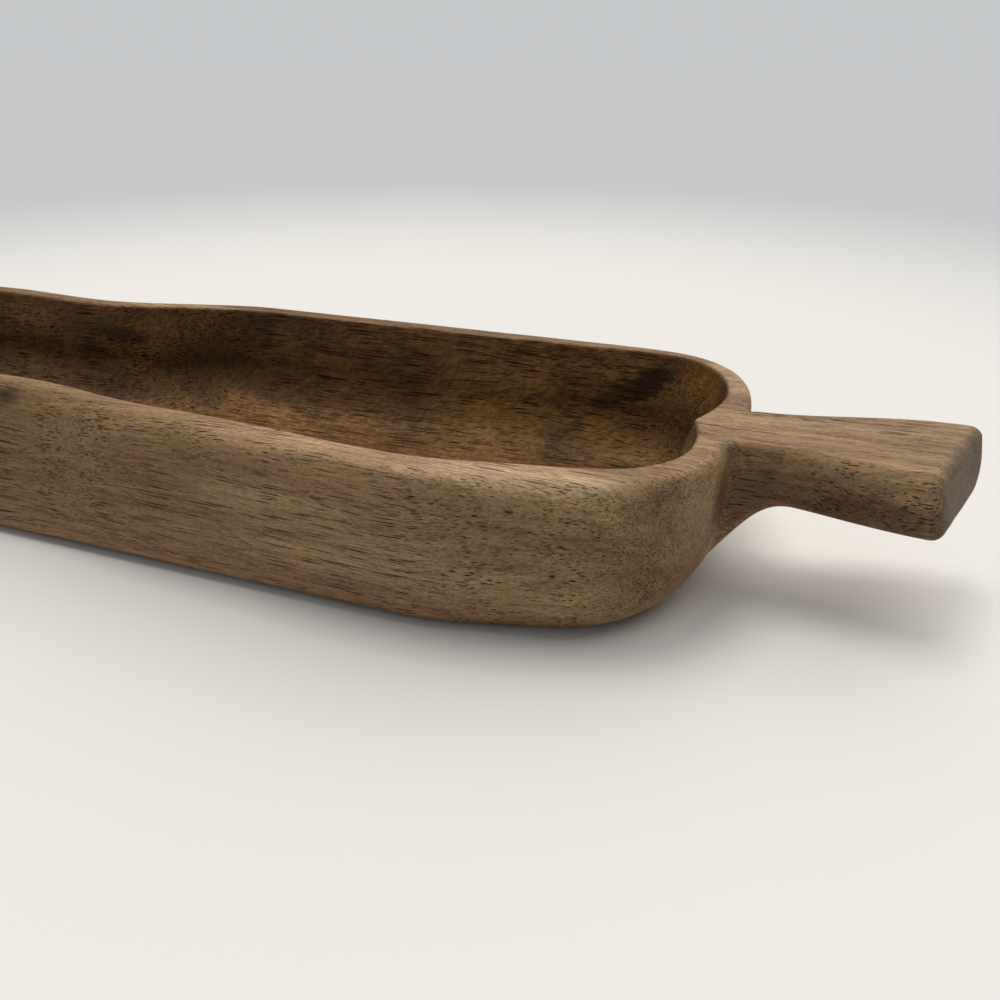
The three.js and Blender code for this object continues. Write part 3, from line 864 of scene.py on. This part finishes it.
@dataclass(frozen=True)
class Cloud:
    """Soft noise that fills the block, in cells of this length, breadth and height."""

    length: float
    breadth: float
    height: float
    detail: float = 2.0
    roughness: float = 0.5

    def noise(self, nodes: NodeBoard, place: Socket) -> bpy.types.Node:
        """Adds the noise, looked up at a place in millimetres."""
        cells = nodes.vector("DIVIDE", place, (self.length, self.breadth, self.height))
        inputs = {"Vector": cells, "Scale": 1.0, "Detail": self.detail, "Roughness": self.roughness}
        return nodes.add("ShaderNodeTexNoise", inputs)

    def value(self, nodes: NodeBoard, place: Socket) -> Socket:
        """The noise as a number from 0 to 1, mostly near one half."""
        return self.noise(nodes, place).outputs[0]

    def wavering(self, nodes: NodeBoard, place: Socket) -> Socket:
        """The noise as a short vector that points any way."""
        return nodes.vector("SUBTRACT", self.noise(nodes, place).outputs[1], (0.5, 0.5, 0.5))


@dataclass(frozen=True)
class Pores:
    """One family of open pores: hollows along the grain that show as dashes, or as dots where
    they are cut across."""

    length: float
    spacing: float
    width: float
    darkness: float
    narrowest_share: float = 0.4

    def depth(self, nodes: NodeBoard, place: Socket, crowding: Socket) -> Socket:
        """How deep the surface lies in a pore, from 0 to 1.

        Args:
            nodes: The material's nodes.
            place: The place in the wood, in millimetres.
            crowding: What the pores' sizes are multiplied by there.

        Returns:
            The depth.
        """
        cells = nodes.vector("DIVIDE", place, (self.length, self.spacing, self.spacing))
        found = nodes.add("ShaderNodeTexVoronoi", {"Vector": cells, "Scale": 1.0, "Randomness": 1.0})
        luck = nodes.add("ShaderNodeSeparateColor", {"Color": found.outputs["Color"]}).outputs[0]
        widest = self.width / 2.0 / self.spacing
        narrowest = widest * self.narrowest_share
        radius = nodes.math("MULTIPLY_ADD", luck, widest - narrowest, narrowest)
        reach = nodes.math("MULTIPLY", radius, crowding)
        outwards = nodes.math("DIVIDE", found.outputs["Distance"], reach)
        return nodes.math("SUBTRACT", 1.0, outwards, clamped=True)


@dataclass(frozen=True)
class Flush:
    """A soft tint that comes and goes along the grain."""

    cloud: Cloud
    tone: Tone
    strength: float
    shift: Triple = (0.0, 0.0, 0.0)
    starts: float = 0.5
    full: float = 0.72

    def share(self, nodes: NodeBoard, grain: Socket) -> Socket:
        """How strongly the tint shows, from 0 to its strength."""
        value = self.cloud.value(nodes, nodes.vector("ADD", grain, self.shift))
        return nodes.math("MULTIPLY", nodes.ramp(value, self.starts, self.full), self.strength)


@dataclass(frozen=True)
class Mark:
    """A knot, streak or flush of colour at one place in the block, or a patch of painted light or
    shade there. Its core is the share of its reach within which it shows fully."""

    place: Triple
    reach: Triple
    tone: Tone
    strength: float
    lean_degrees: float = 0.0
    raggedness: float = 0.9
    core: float = 0.25

    def share(self, nodes: NodeBoard, place: Socket, ragged: Socket) -> Socket:
        """How strongly the mark shows.

        Args:
            nodes: The material's nodes.
            place: The place in the wood, in millimetres.
            ragged: A wavering vector that frays the mark's edge.

        Returns:
            The share, from 0 to the mark's strength.
        """
        turn = (0.0, -math.radians(self.lean_degrees), 0.0)
        inputs = {"Vector": place, "Location": self.place, "Rotation": turn, "Scale": self.reach}
        local = nodes.add("ShaderNodeMapping", inputs, vector_type="TEXTURE").outputs[0]
        frayed = nodes.vector("MULTIPLY_ADD", ragged, (self.raggedness,) * 3, local)
        near = nodes.ramp(nodes.vector("LENGTH", frayed), 1.0, self.core)
        return nodes.math("MULTIPLY", near, self.strength)


@dataclass(frozen=True)
class CarvedWood:
    """Open-pored wood with a grain along X, rubbed to a low sheen, and darker where it is hollowed:
    partly painted shade.
    """

    roughness: tuple[float, float] = (0.5, 0.66)
    wear: Cloud = Cloud(60.0, 30.0, 30.0)
    gloss: float = 0.16
    relief: float = 0.09
    relief_strength: float = 0.8
    fibre: Cloud = Cloud(9.0, 0.35, 0.35)
    fibre_share: float = 0.2
    drift: Cloud = Cloud(120.0, 42.0, 42.0)
    drift_reach: Triple = (0.0, 9.0, 9.0)
    usual_noise: tuple[float, float] = (0.35, 0.65)
    rings: Cloud = Cloud(110.0, 9.0, 9.0, detail=1.0)
    crowding: tuple[float, float] = (0.82, 1.2)
    hollow_pores: float = 0.3
    pore_edge: float = 0.2
    coarse_pores: Pores = Pores(length=24.0, spacing=0.6, width=0.43, darkness=0.95)
    fine_pores: Pores = Pores(length=10.0, spacing=0.4, width=0.25, darkness=0.8)
    figure: Cloud = Cloud(150.0, 17.0, 17.0, detail=3.0)
    outside_tones: Tones = ((0.32, Tone.BROWN), (0.5, Tone.TAN), (0.68, Tone.PALE))
    smoke: Cloud = Cloud(46.0, 24.0, 20.0, detail=4.0)
    # The hollow's tones are darker than the outside's, partly as painted shade.
    inside_tones: Tones = ((0.3, Tone.DARK_HEART_AND_SHADE), (0.5, Tone.HEART), (0.72, Tone.GOLD))
    sawn_share: float = 0.8
    flushes: tuple[Flush, ...] = (
        Flush(Cloud(75.0, 30.0, 24.0), Tone.ROSE, 0.55),
        Flush(Cloud(60.0, 26.0, 20.0), Tone.OLIVE, 0.4, shift=(310.0, 40.0, 90.0)),
    )
    streaks: tuple[tuple[Cloud, float], ...] = (
        (Cloud(1.5, 0.6, 0.6, detail=3.0), 0.36),
        (Cloud(20.0, 0.7, 0.7, detail=3.0), 0.34),
        (Cloud(70.0, 2.6, 2.6, detail=3.0), 0.3),
    )
    curl: Cloud = Cloud(3.6, 2.4, 1.5, detail=5.0)
    curl_lean_degrees: float = 38.0
    curl_share: float = 0.55
    shade_range: tuple[float, float] = (0.45, 1.55)
    frays: Cloud = Cloud(9.0, 2.4, 2.4, detail=5.0, roughness=0.7)
    marks: tuple[Mark, ...] = (
        Mark((-200.0, 0.0, 40.0), (190.0, 160.0, 120.0), Tone.HEART, 0.6),
        # Painted shade in the hollow: over its half towards the tip, and on its far wall.
        Mark((-190.0, 30.0, 30.0), (130.0, 40.0, 40.0), Tone.DARK_HEART_AND_SHADE, 0.5),
        Mark((-35.0, 58.0, 30.0), (120.0, 26.0, 32.0), Tone.DARK_HEART_AND_SHADE, 0.55),
        Mark((105.0, 35.0, 28.0), (75.0, 45.0, 34.0), Tone.GOLD, 0.45),
        Mark((0.0, 64.0, 56.0), (210.0, 10.0, 7.0), Tone.HEART, 0.7, raggedness=0.4),
        Mark((-60.0, -62.0, 36.0), (125.0, 24.0, 42.0), Tone.HEART, 0.5, raggedness=0.6),
        Mark((30.0, 0.0, 12.0), (110.0, 45.0, 22.0), Tone.DARK_HEART_AND_SHADE, 0.35, raggedness=0.6),
        # Painted light: a highlight on the near rim's top near the stem, and a faint paler wash on the
        # near wall.
        Mark((150.0, -60.0, 56.0), (60.0, 16.0, 9.0), Tone.PAINTED_LIGHT, 0.9, raggedness=0.6),
        Mark((110.0, -66.0, 30.0), (100.0, 20.0, 36.0), Tone.PAINTED_LIGHT, 0.16, raggedness=0.6),
        # Painted shade where the near lobe meets the stem.
        Mark((196.0, -40.0, 30.0), (34.0, 30.0, 30.0), Tone.BROWN, 0.5, raggedness=0.6),
        Mark((168.0, 57.0, 43.0), (15.0, 12.0, 8.0),
             Tone.KNOT, 0.85, lean_degrees=31.0, raggedness=2.2, core=0.45),
        Mark((157.0, 57.0, 38.0), (26.0, 14.0, 6.5),
             Tone.KNOT, 0.65, lean_degrees=31.0, raggedness=2.4, core=0.4),
        Mark((60.0, -66.0, 6.0), (190.0, 20.0, 15.0), Tone.ROSE, 0.45),
        Mark((136.0, 47.0, 20.0), (14.0, 14.0, 5.0),
             Tone.DARK_HEART_AND_SHADE, 0.6, lean_degrees=40.0, raggedness=1.5),
        Mark((-84.0, 41.0, 42.0), (24.0, 16.0, 5.0), Tone.KNOT, 0.7, lean_degrees=-5.0),
        Mark((-100.0, 38.0, 33.0), (12.0, 12.0, 4.0), Tone.KNOT, 0.5),
        Mark((121.0, 55.0, 43.0), (20.0, 14.0, 14.0), Tone.GOLD, 0.75, lean_degrees=50.0),
        Mark((190.0, 48.0, 46.0), (22.0, 18.0, 14.0), Tone.GOLD, 0.6),
        Mark((-140.0, 42.0, 46.0), (30.0, 18.0, 12.0), Tone.GOLD, 0.5),
        Mark((-50.0, -56.0, 52.0), (9.0, 12.0, 5.0), Tone.KNOT, 0.75),
        Mark((203.0, -18.0, 54.0), (5.0, 6.0, 4.0), Tone.KNOT, 0.5),
        Mark((147.0, -63.0, 45.5), (2.2, 4.0, 0.9), Tone.KNOT, 0.9, raggedness=0.3),
        Mark((48.0, -66.0, 22.0), (22.0, 8.0, 1.6),
             Tone.BROWN, 0.6, lean_degrees=-27.0, raggedness=0.5),
        Mark((183.0, -52.0, 46.0), (10.0, 10.0, 7.0), Tone.BROWN, 0.6),
        # Painted shade: darker on the stem's near flank and at its root.
        Mark((240.0, -22.0, 38.0), (52.0, 16.0, 15.0), Tone.PAINTED_SHADE_UMBER, 0.85, raggedness=0.6),
        Mark((214.0, -19.0, 36.0), (20.0, 12.0, 18.0), Tone.PAINTED_SHADE_UMBER, 0.7, raggedness=0.6),
    )

    def make(self, name: str) -> bpy.types.Material:
        """Makes the material.

        Args:
            name: The material's name.

        Returns:
            The material.
        """
        material = bpy.data.materials.new(name)
        material.use_nodes = True
        nodes = NodeBoard(material.node_tree)
        shader = material.node_tree.nodes["Principled BSDF"].inputs
        block = nodes.place()
        grain = nodes.vector("MULTIPLY_ADD", self.drift.wavering(nodes, block), self.drift_reach, block)
        hollow = nodes.kept("hollow")
        crowding = self.crowded(nodes, grain, hollow)
        colour = self.colour(nodes, block, grain, hollow)
        gloss = self.gloss
        deepest = 0.0
        for pores in (self.fine_pores, self.coarse_pores):
            depth = pores.depth(nodes, grain, crowding)
            share = nodes.math("MULTIPLY", nodes.ramp(depth, 0.0, self.pore_edge), pores.darkness)
            colour = nodes.mix(share, colour, Tone.PORE.linear)
            gloss = nodes.math("MULTIPLY", gloss, nodes.math("SUBTRACT", 1.0, share))
            deepest = nodes.math("MAXIMUM", depth, deepest)
        fibre = nodes.math("MULTIPLY", self.fibre.value(nodes, grain), self.fibre_share)
        height = nodes.math("SUBTRACT", fibre, deepest)
        reliefs = {"Height": height, "Strength": self.relief_strength, "Distance": self.relief * MM}
        worn = nodes.carried(self.wear.value(nodes, block), (0.0, 1.0), self.roughness)
        nodes.feed(shader["Base Color"], colour)
        nodes.feed(shader["Normal"], nodes.add("ShaderNodeBump", reliefs).outputs[0])
        nodes.feed(shader["Roughness"], worn)
        nodes.feed(shader["Specular IOR Level"], gloss)
        return material

    def crowded(self, nodes: NodeBoard, grain: Socket, hollow: Socket) -> Socket:
        """What the pores' sizes are multiplied by: more in some rings, and more in the hollow."""
        by_ring = nodes.carried(self.rings.value(nodes, grain), self.usual_noise, self.crowding)
        in_hollow = nodes.math("MULTIPLY_ADD", hollow, self.hollow_pores, 1.0)
        return nodes.math("MULTIPLY", by_ring, in_hollow)

    def colour(self, nodes: NodeBoard, block: Socket, grain: Socket, hollow: Socket) -> Socket:
        """The wood's colour before its pores.

        Args:
            nodes: The material's nodes.
            block: The place in the block, in millimetres.
            grain: The same with the grain's wandering taken out.
            hollow: How far the place belongs to the inside of the dish.

        Returns:
            The colour.
        """
        outside = self.toned(nodes, self.figure.value(nodes, grain), self.outside_tones)
        for flush in self.flushes:
            outside = nodes.mix(flush.share(nodes, grain), outside, flush.tone.linear)
        inside = self.toned(nodes, self.smoke.value(nodes, block), self.inside_tones)
        # The hollow takes its darker tones, partly as painted shade.
        colour = nodes.mix(hollow, outside, inside)
        sawn = nodes.math("MULTIPLY", nodes.kept("sawn_end"), self.sawn_share)
        colour = nodes.mix(sawn, colour, Tone.GREY.linear)
        ragged = self.frays.wavering(nodes, grain)
        # Some marks are painted highlight or painted shade, not the wood's own colour.
        for mark in self.marks:
            colour = nodes.mix(mark.share(nodes, block, ragged), colour, mark.tone.linear)
        return nodes.scaled(colour, self.shade(nodes, block, grain, hollow))

    @staticmethod
    def toned(nodes: NodeBoard, value: Socket, tones: Tones) -> Socket:
        """Colours along a value."""
        node = nodes.add("ShaderNodeValToRGB", {"Fac": value})
        elements = node.color_ramp.elements
        while len(elements) < len(tones):
            elements.new(1.0)
        for element, (place, tone) in zip(elements, tones):
            element.position = place
            element.color = tone.linear
        return node.outputs["Color"]

    def shade(self, nodes: NodeBoard, block: Socket, grain: Socket, hollow: Socket) -> Socket:
        """How light the wood is: by streaks along it and, in the hollow, by a short leaning curl.

        Args:
            nodes: The material's nodes.
            block: The place in the block, in millimetres.
            grain: The same with the grain's wandering taken out.
            hollow: How far the place belongs to the inside of the dish.

        Returns:
            What the colour is multiplied by.
        """
        along = 0.0
        for cloud, share in self.streaks:
            along = nodes.math("MULTIPLY_ADD", cloud.value(nodes, grain), share, along)
        turn = (0.0, math.radians(self.curl_lean_degrees), 0.0)
        leaning = nodes.add("ShaderNodeMapping", {"Vector": block, "Rotation": turn}).outputs[0]
        change = nodes.math("SUBTRACT", self.curl.value(nodes, leaning), along)
        share = nodes.math("MULTIPLY", hollow, self.curl_share)
        light = nodes.math("MULTIPLY_ADD", change, share, along)
        return nodes.carried(light, self.usual_noise, self.shade_range)


@dataclass(frozen=True)
class HandFinish:
    """What gouge and sandpaper leave: a fine skin with shallow hollows that follow the grain."""

    refinement: int = 1
    mark_depth: float = 0.7
    mark_length: float = 48.0
    mark_breadth: float = 20.0
    flat_below: float = 0.6
    full_above: float = 12.0
    seed: float = 7.0

    def inputs(self, wood: bpy.types.Material) -> dict[str, tuple[str, object]]:
        """The tree's named inputs, each with its kind of socket and its value in metres."""
        sizes = {
            "Mark depth": self.mark_depth * MM,
            "Mark length": self.mark_length * MM,
            "Mark breadth": self.mark_breadth * MM,
            "Flat below": self.flat_below * MM,
            "Full above": self.full_above * MM,
            "Seed": self.seed,
        }
        named: dict[str, tuple[str, object]] = {}
        for name, size in sizes.items():
            named[name] = ("NodeSocketFloat", size)
        named["Refinement"] = ("NodeSocketInt", self.refinement)
        named["Wood"] = ("NodeSocketMaterial", wood)
        return named

    def tree(self, kinds: dict[str, str]) -> bpy.types.NodeTree:
        """Builds the tree that refines a carving and leaves the tools' marks on it.

        Args:
            kinds: The kind of socket of each named input.

        Returns:
            The tree.
        """
        tree = bpy.data.node_groups.new("hand_finish", "GeometryNodeTree")
        tree.interface.new_socket("Geometry", in_out="INPUT", socket_type="NodeSocketGeometry")
        for name, kind in kinds.items():
            tree.interface.new_socket(name, in_out="INPUT", socket_type=kind)
        tree.interface.new_socket("Geometry", in_out="OUTPUT", socket_type="NodeSocketGeometry")
        nodes = NodeBoard(tree)
        given = nodes.add("NodeGroupInput").outputs
        refined = {"Mesh": given["Geometry"], "Level": given["Refinement"]}
        fine = nodes.add("GeometryNodeSubdivisionSurface", refined).outputs[0]
        place = nodes.add("GeometryNodeInputPosition").outputs[0]
        breadth = given["Mark breadth"]
        cell = nodes.add("ShaderNodeCombineXYZ", {0: given["Mark length"], 1: breadth, 2: breadth})
        cells = nodes.vector("DIVIDE", place, cell.outputs[0])
        noise = {"Vector": cells, "W": given["Seed"], "Scale": 1.0, "Detail": 1.0}
        marks = nodes.add("ShaderNodeTexNoise", noise, noise_dimensions="4D").outputs[0]
        depth = nodes.math("MULTIPLY", nodes.math("SUBTRACT", marks, 0.5), given["Mark depth"])
        level = nodes.add("ShaderNodeSeparateXYZ", {0: place}).outputs[2]
        above = nodes.ramp(level, given["Flat below"], given["Full above"])
        outwards = nodes.add("GeometryNodeInputNormal").outputs[0]
        offset = nodes.scaled(outwards, nodes.math("MULTIPLY", depth, above))
        moved = nodes.add("GeometryNodeSetPosition", {"Geometry": fine, "Offset": offset}).outputs[0]
        smooth = nodes.add("GeometryNodeSetShadeSmooth", {"Geometry": moved}).outputs[0]
        whole = nodes.add("GeometryNodeRealizeInstances", {"Geometry": smooth}).outputs[0]
        dressing = {"Geometry": whole, "Material": given["Wood"]}
        dressed = nodes.add("GeometryNodeSetMaterial", dressing).outputs[0]
        nodes.add("NodeGroupOutput", {"Geometry": dressed})
        return tree

    def finish(self, piece: bpy.types.Object, wood: bpy.types.Material) -> None:
        """Runs the tree on a piece and keeps the result as its plain mesh."""
        inputs = self.inputs(wood)
        modifier = piece.modifiers.new("hand_finish", "NODES")
        modifier.node_group = self.tree({name: kind for name, (kind, _) in inputs.items()})
        for item in modifier.node_group.interface.items_tree:
            if item.in_out == "INPUT" and item.name in inputs:
                modifier[item.identifier] = inputs[item.name][1]
        evaluated = piece.evaluated_get(bpy.context.evaluated_depsgraph_get())
        mesh = bpy.data.meshes.new_from_object(evaluated)
        piece.modifiers.remove(modifier)
        piece.data = mesh
        mesh.name = piece.name


@dataclass
class CarvedBowl:
    """The whole carving, one piece of wood that stands for the CAD node of the same shape."""

    node: str = "carved_bowl"
    body: str = "root"
    slot: str = "carved_wood"
    dish: Dish = field(default_factory=Dish)
    stem: StemHandle = field(default_factory=StemHandle)
    wood: CarvedWood = field(default_factory=CarvedWood)
    finish: HandFinish = field(default_factory=HandFinish)

    def neck(self) -> Vector:
        """The neck's place in the frame, below the rim, in metres."""
        low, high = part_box(self.node)
        return Vector((low.x + self.dish.length * MM, (low.y + high.y) / 2.0, low.z))

    def make(self) -> bpy.types.Object:
        """Carves and dresses the bowl, and lets it ride on its body.

        Returns:
            The bowl's object.
        """
        skin = Skin()
        columns, vertices = self.dish.build(skin, self.stem.root_lengths())
        self.stem.build(skin, self.dish, columns, vertices)
        bowl = skin.to_object("carved_bowl_wood", self.neck())
        self.finish.finish(bowl, self.wood.make(self.slot))
        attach(bowl, self.body)
        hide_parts(self.node)
        return bowl


@dataclass(frozen=True)
class Table:
    """A plain pale table that fades far round the bowl into the tone of the backdrop."""

    half_size: float = 6000.0
    gap: float = 0.15
    warm_colour: Colour = (0.84, 0.825, 0.8, 1.0)
    cool_colour: Colour = (0.545, 0.567, 0.595, 1.0)
    middle: Triple = (40.0, -20.0, 0.0)
    cool_from: float = 330.0
    cool_by: float = 950.0
    roughness: float = 1.0

    def make(self) -> bpy.types.Object:
        """Makes the table.

        Returns:
            The table's object.
        """
        half = self.half_size * MM
        level = -self.gap * MM
        mesh = bpy.data.meshes.new("table")
        corners = [(-half, -half), (half, -half), (half, half), (-half, half)]
        mesh.from_pydata([(x, y, level) for x, y in corners], [], [(0, 1, 2, 3)])
        material = bpy.data.materials.new("table_top")
        material.use_nodes = True
        nodes = NodeBoard(material.node_tree)
        shader = material.node_tree.nodes["Principled BSDF"].inputs
        away = nodes.vector("LENGTH", nodes.vector("SUBTRACT", nodes.place(), self.middle))
        share = nodes.ramp(away, self.cool_from, self.cool_by)
        nodes.feed(shader["Base Color"], nodes.mix(share, self.warm_colour, self.cool_colour))
        nodes.feed(shader["Roughness"], self.roughness)
        nodes.feed(shader["Specular IOR Level"], 0.0)
        mesh.materials.append(material)
        table = linked("table", mesh)
        return table


@dataclass(frozen=True)
class Glow:
    """A broad far lamp. Its turn goes from straight behind the bowl, +Y, towards the stem, +X."""

    name: str
    turn_degrees: float
    height_degrees: float
    breadth_degrees: float
    strength: float
    colour: Triple

    def make(self) -> None:
        """Hangs the lamp, facing the bowl."""
        data = bpy.data.lights.new(self.name, "SUN")
        data.angle = math.radians(self.breadth_degrees)
        data.energy = self.strength
        data.color = self.colour
        lamp = linked(self.name, data)
        lamp.location = direction(self.turn_degrees, self.height_degrees)
        lamp.rotation_euler = facing(-lamp.location)


@dataclass(frozen=True)
class StudioLight:
    """Soft light: a broad glow from behind, a smaller one from high on the left and a faint fill
    from the front."""

    glows: tuple[Glow, ...] = (
        Glow("back_glow", 24.0, 52.0, 74.0, 2.42, (1.0, 0.966, 0.92)),
        Glow("ceiling_glow", -60.0, 70.0, 24.0, 0.95, (1.0, 0.966, 0.92)),
        Glow("front_fill", -150.0, 45.0, 90.0, 0.46, (0.88, 0.95, 1.0)),
    )
    room_colour: Colour = (0.95, 0.98, 1.0, 1.0)
    room_strength: float = 0.06
    backdrop_colour: Colour = (0.565, 0.578, 0.592, 1.0)

    def make(self) -> None:
        """Hangs the glows and lights the room."""
        for glow in self.glows:
            glow.make()
        world = bpy.data.worlds.new("room")
        world.use_nodes = True
        nodes = NodeBoard(world.node_tree)
        room = world.node_tree.nodes["Background"]
        nodes.feed(room.inputs["Color"], self.room_colour)
        nodes.feed(room.inputs["Strength"], self.room_strength)
        backdrop = nodes.add("ShaderNodeBackground", {"Color": self.backdrop_colour, "Strength": 1.0})
        path = nodes.add("ShaderNodeLightPath").outputs
        mirrored = nodes.math("MAXIMUM", path["Is Glossy Ray"], path["Is Transmission Ray"])
        seen = nodes.math("MAXIMUM", path["Is Camera Ray"], mirrored)
        pair = {0: seen, 1: room.outputs[0], 2: backdrop.outputs[0]}
        either = nodes.add("ShaderNodeMixShader", pair).outputs[0]
        nodes.feed(world.node_tree.nodes["World Output"].inputs["Surface"], either)
        bpy.context.scene.world = world


@dataclass(frozen=True)
class PhotoCamera:
    """The photograph's view, worked out from the rim, the foot line and the stem."""

    from_neck: Triple = (1.57, -247.8, 162.0)
    azimuth_degrees: float = 19.0
    drop_degrees: float = 30.0
    focal_pixels: float = 785.0
    sensor_width: float = 36.0
    nearest_seen: float = 10.0

    def make(self, neck: Vector) -> bpy.types.Object:
        """Places the camera.

        Args:
            neck: The neck's place, in metres.

        Returns:
            The camera's object.
        """
        data = bpy.data.cameras.new("photo_camera")
        data.sensor_width = self.sensor_width
        data.sensor_fit = "HORIZONTAL"
        data.lens = self.focal_pixels / PHOTO_PIXELS * self.sensor_width
        data.clip_start = self.nearest_seen * MM
        camera = linked("photo_camera", data)
        camera.location = neck + Vector(self.from_neck) * MM
        camera.rotation_euler = facing(direction(-self.azimuth_degrees, -self.drop_degrees))
        bpy.context.scene.camera = camera
        return camera


def main() -> None:
    """Builds the bowl, its table, its light and its camera, and logs some of what it made."""
    logging.basicConfig(level=logging.INFO, format="%(name)s: %(message)s")
    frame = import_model()
    log.info("frame has nodes %s", sorted(frame["nodes"]))
    bowl = CarvedBowl()
    made = bowl.make()
    mesh = made.data
    log.info("%s has %d vertices and %d faces", made.name, len(mesh.vertices), len(mesh.polygons))
    camera = PhotoCamera()
    camera.make(bowl.neck())
    log.info("camera stands at azimuth %.0f degrees", camera.azimuth_degrees)
    Table().make()
    StudioLight().make()
    bpy.context.scene.view_settings.view_transform = "Standard"
    log.info("table and light are set")


if __name__ == "__main__":
    main()
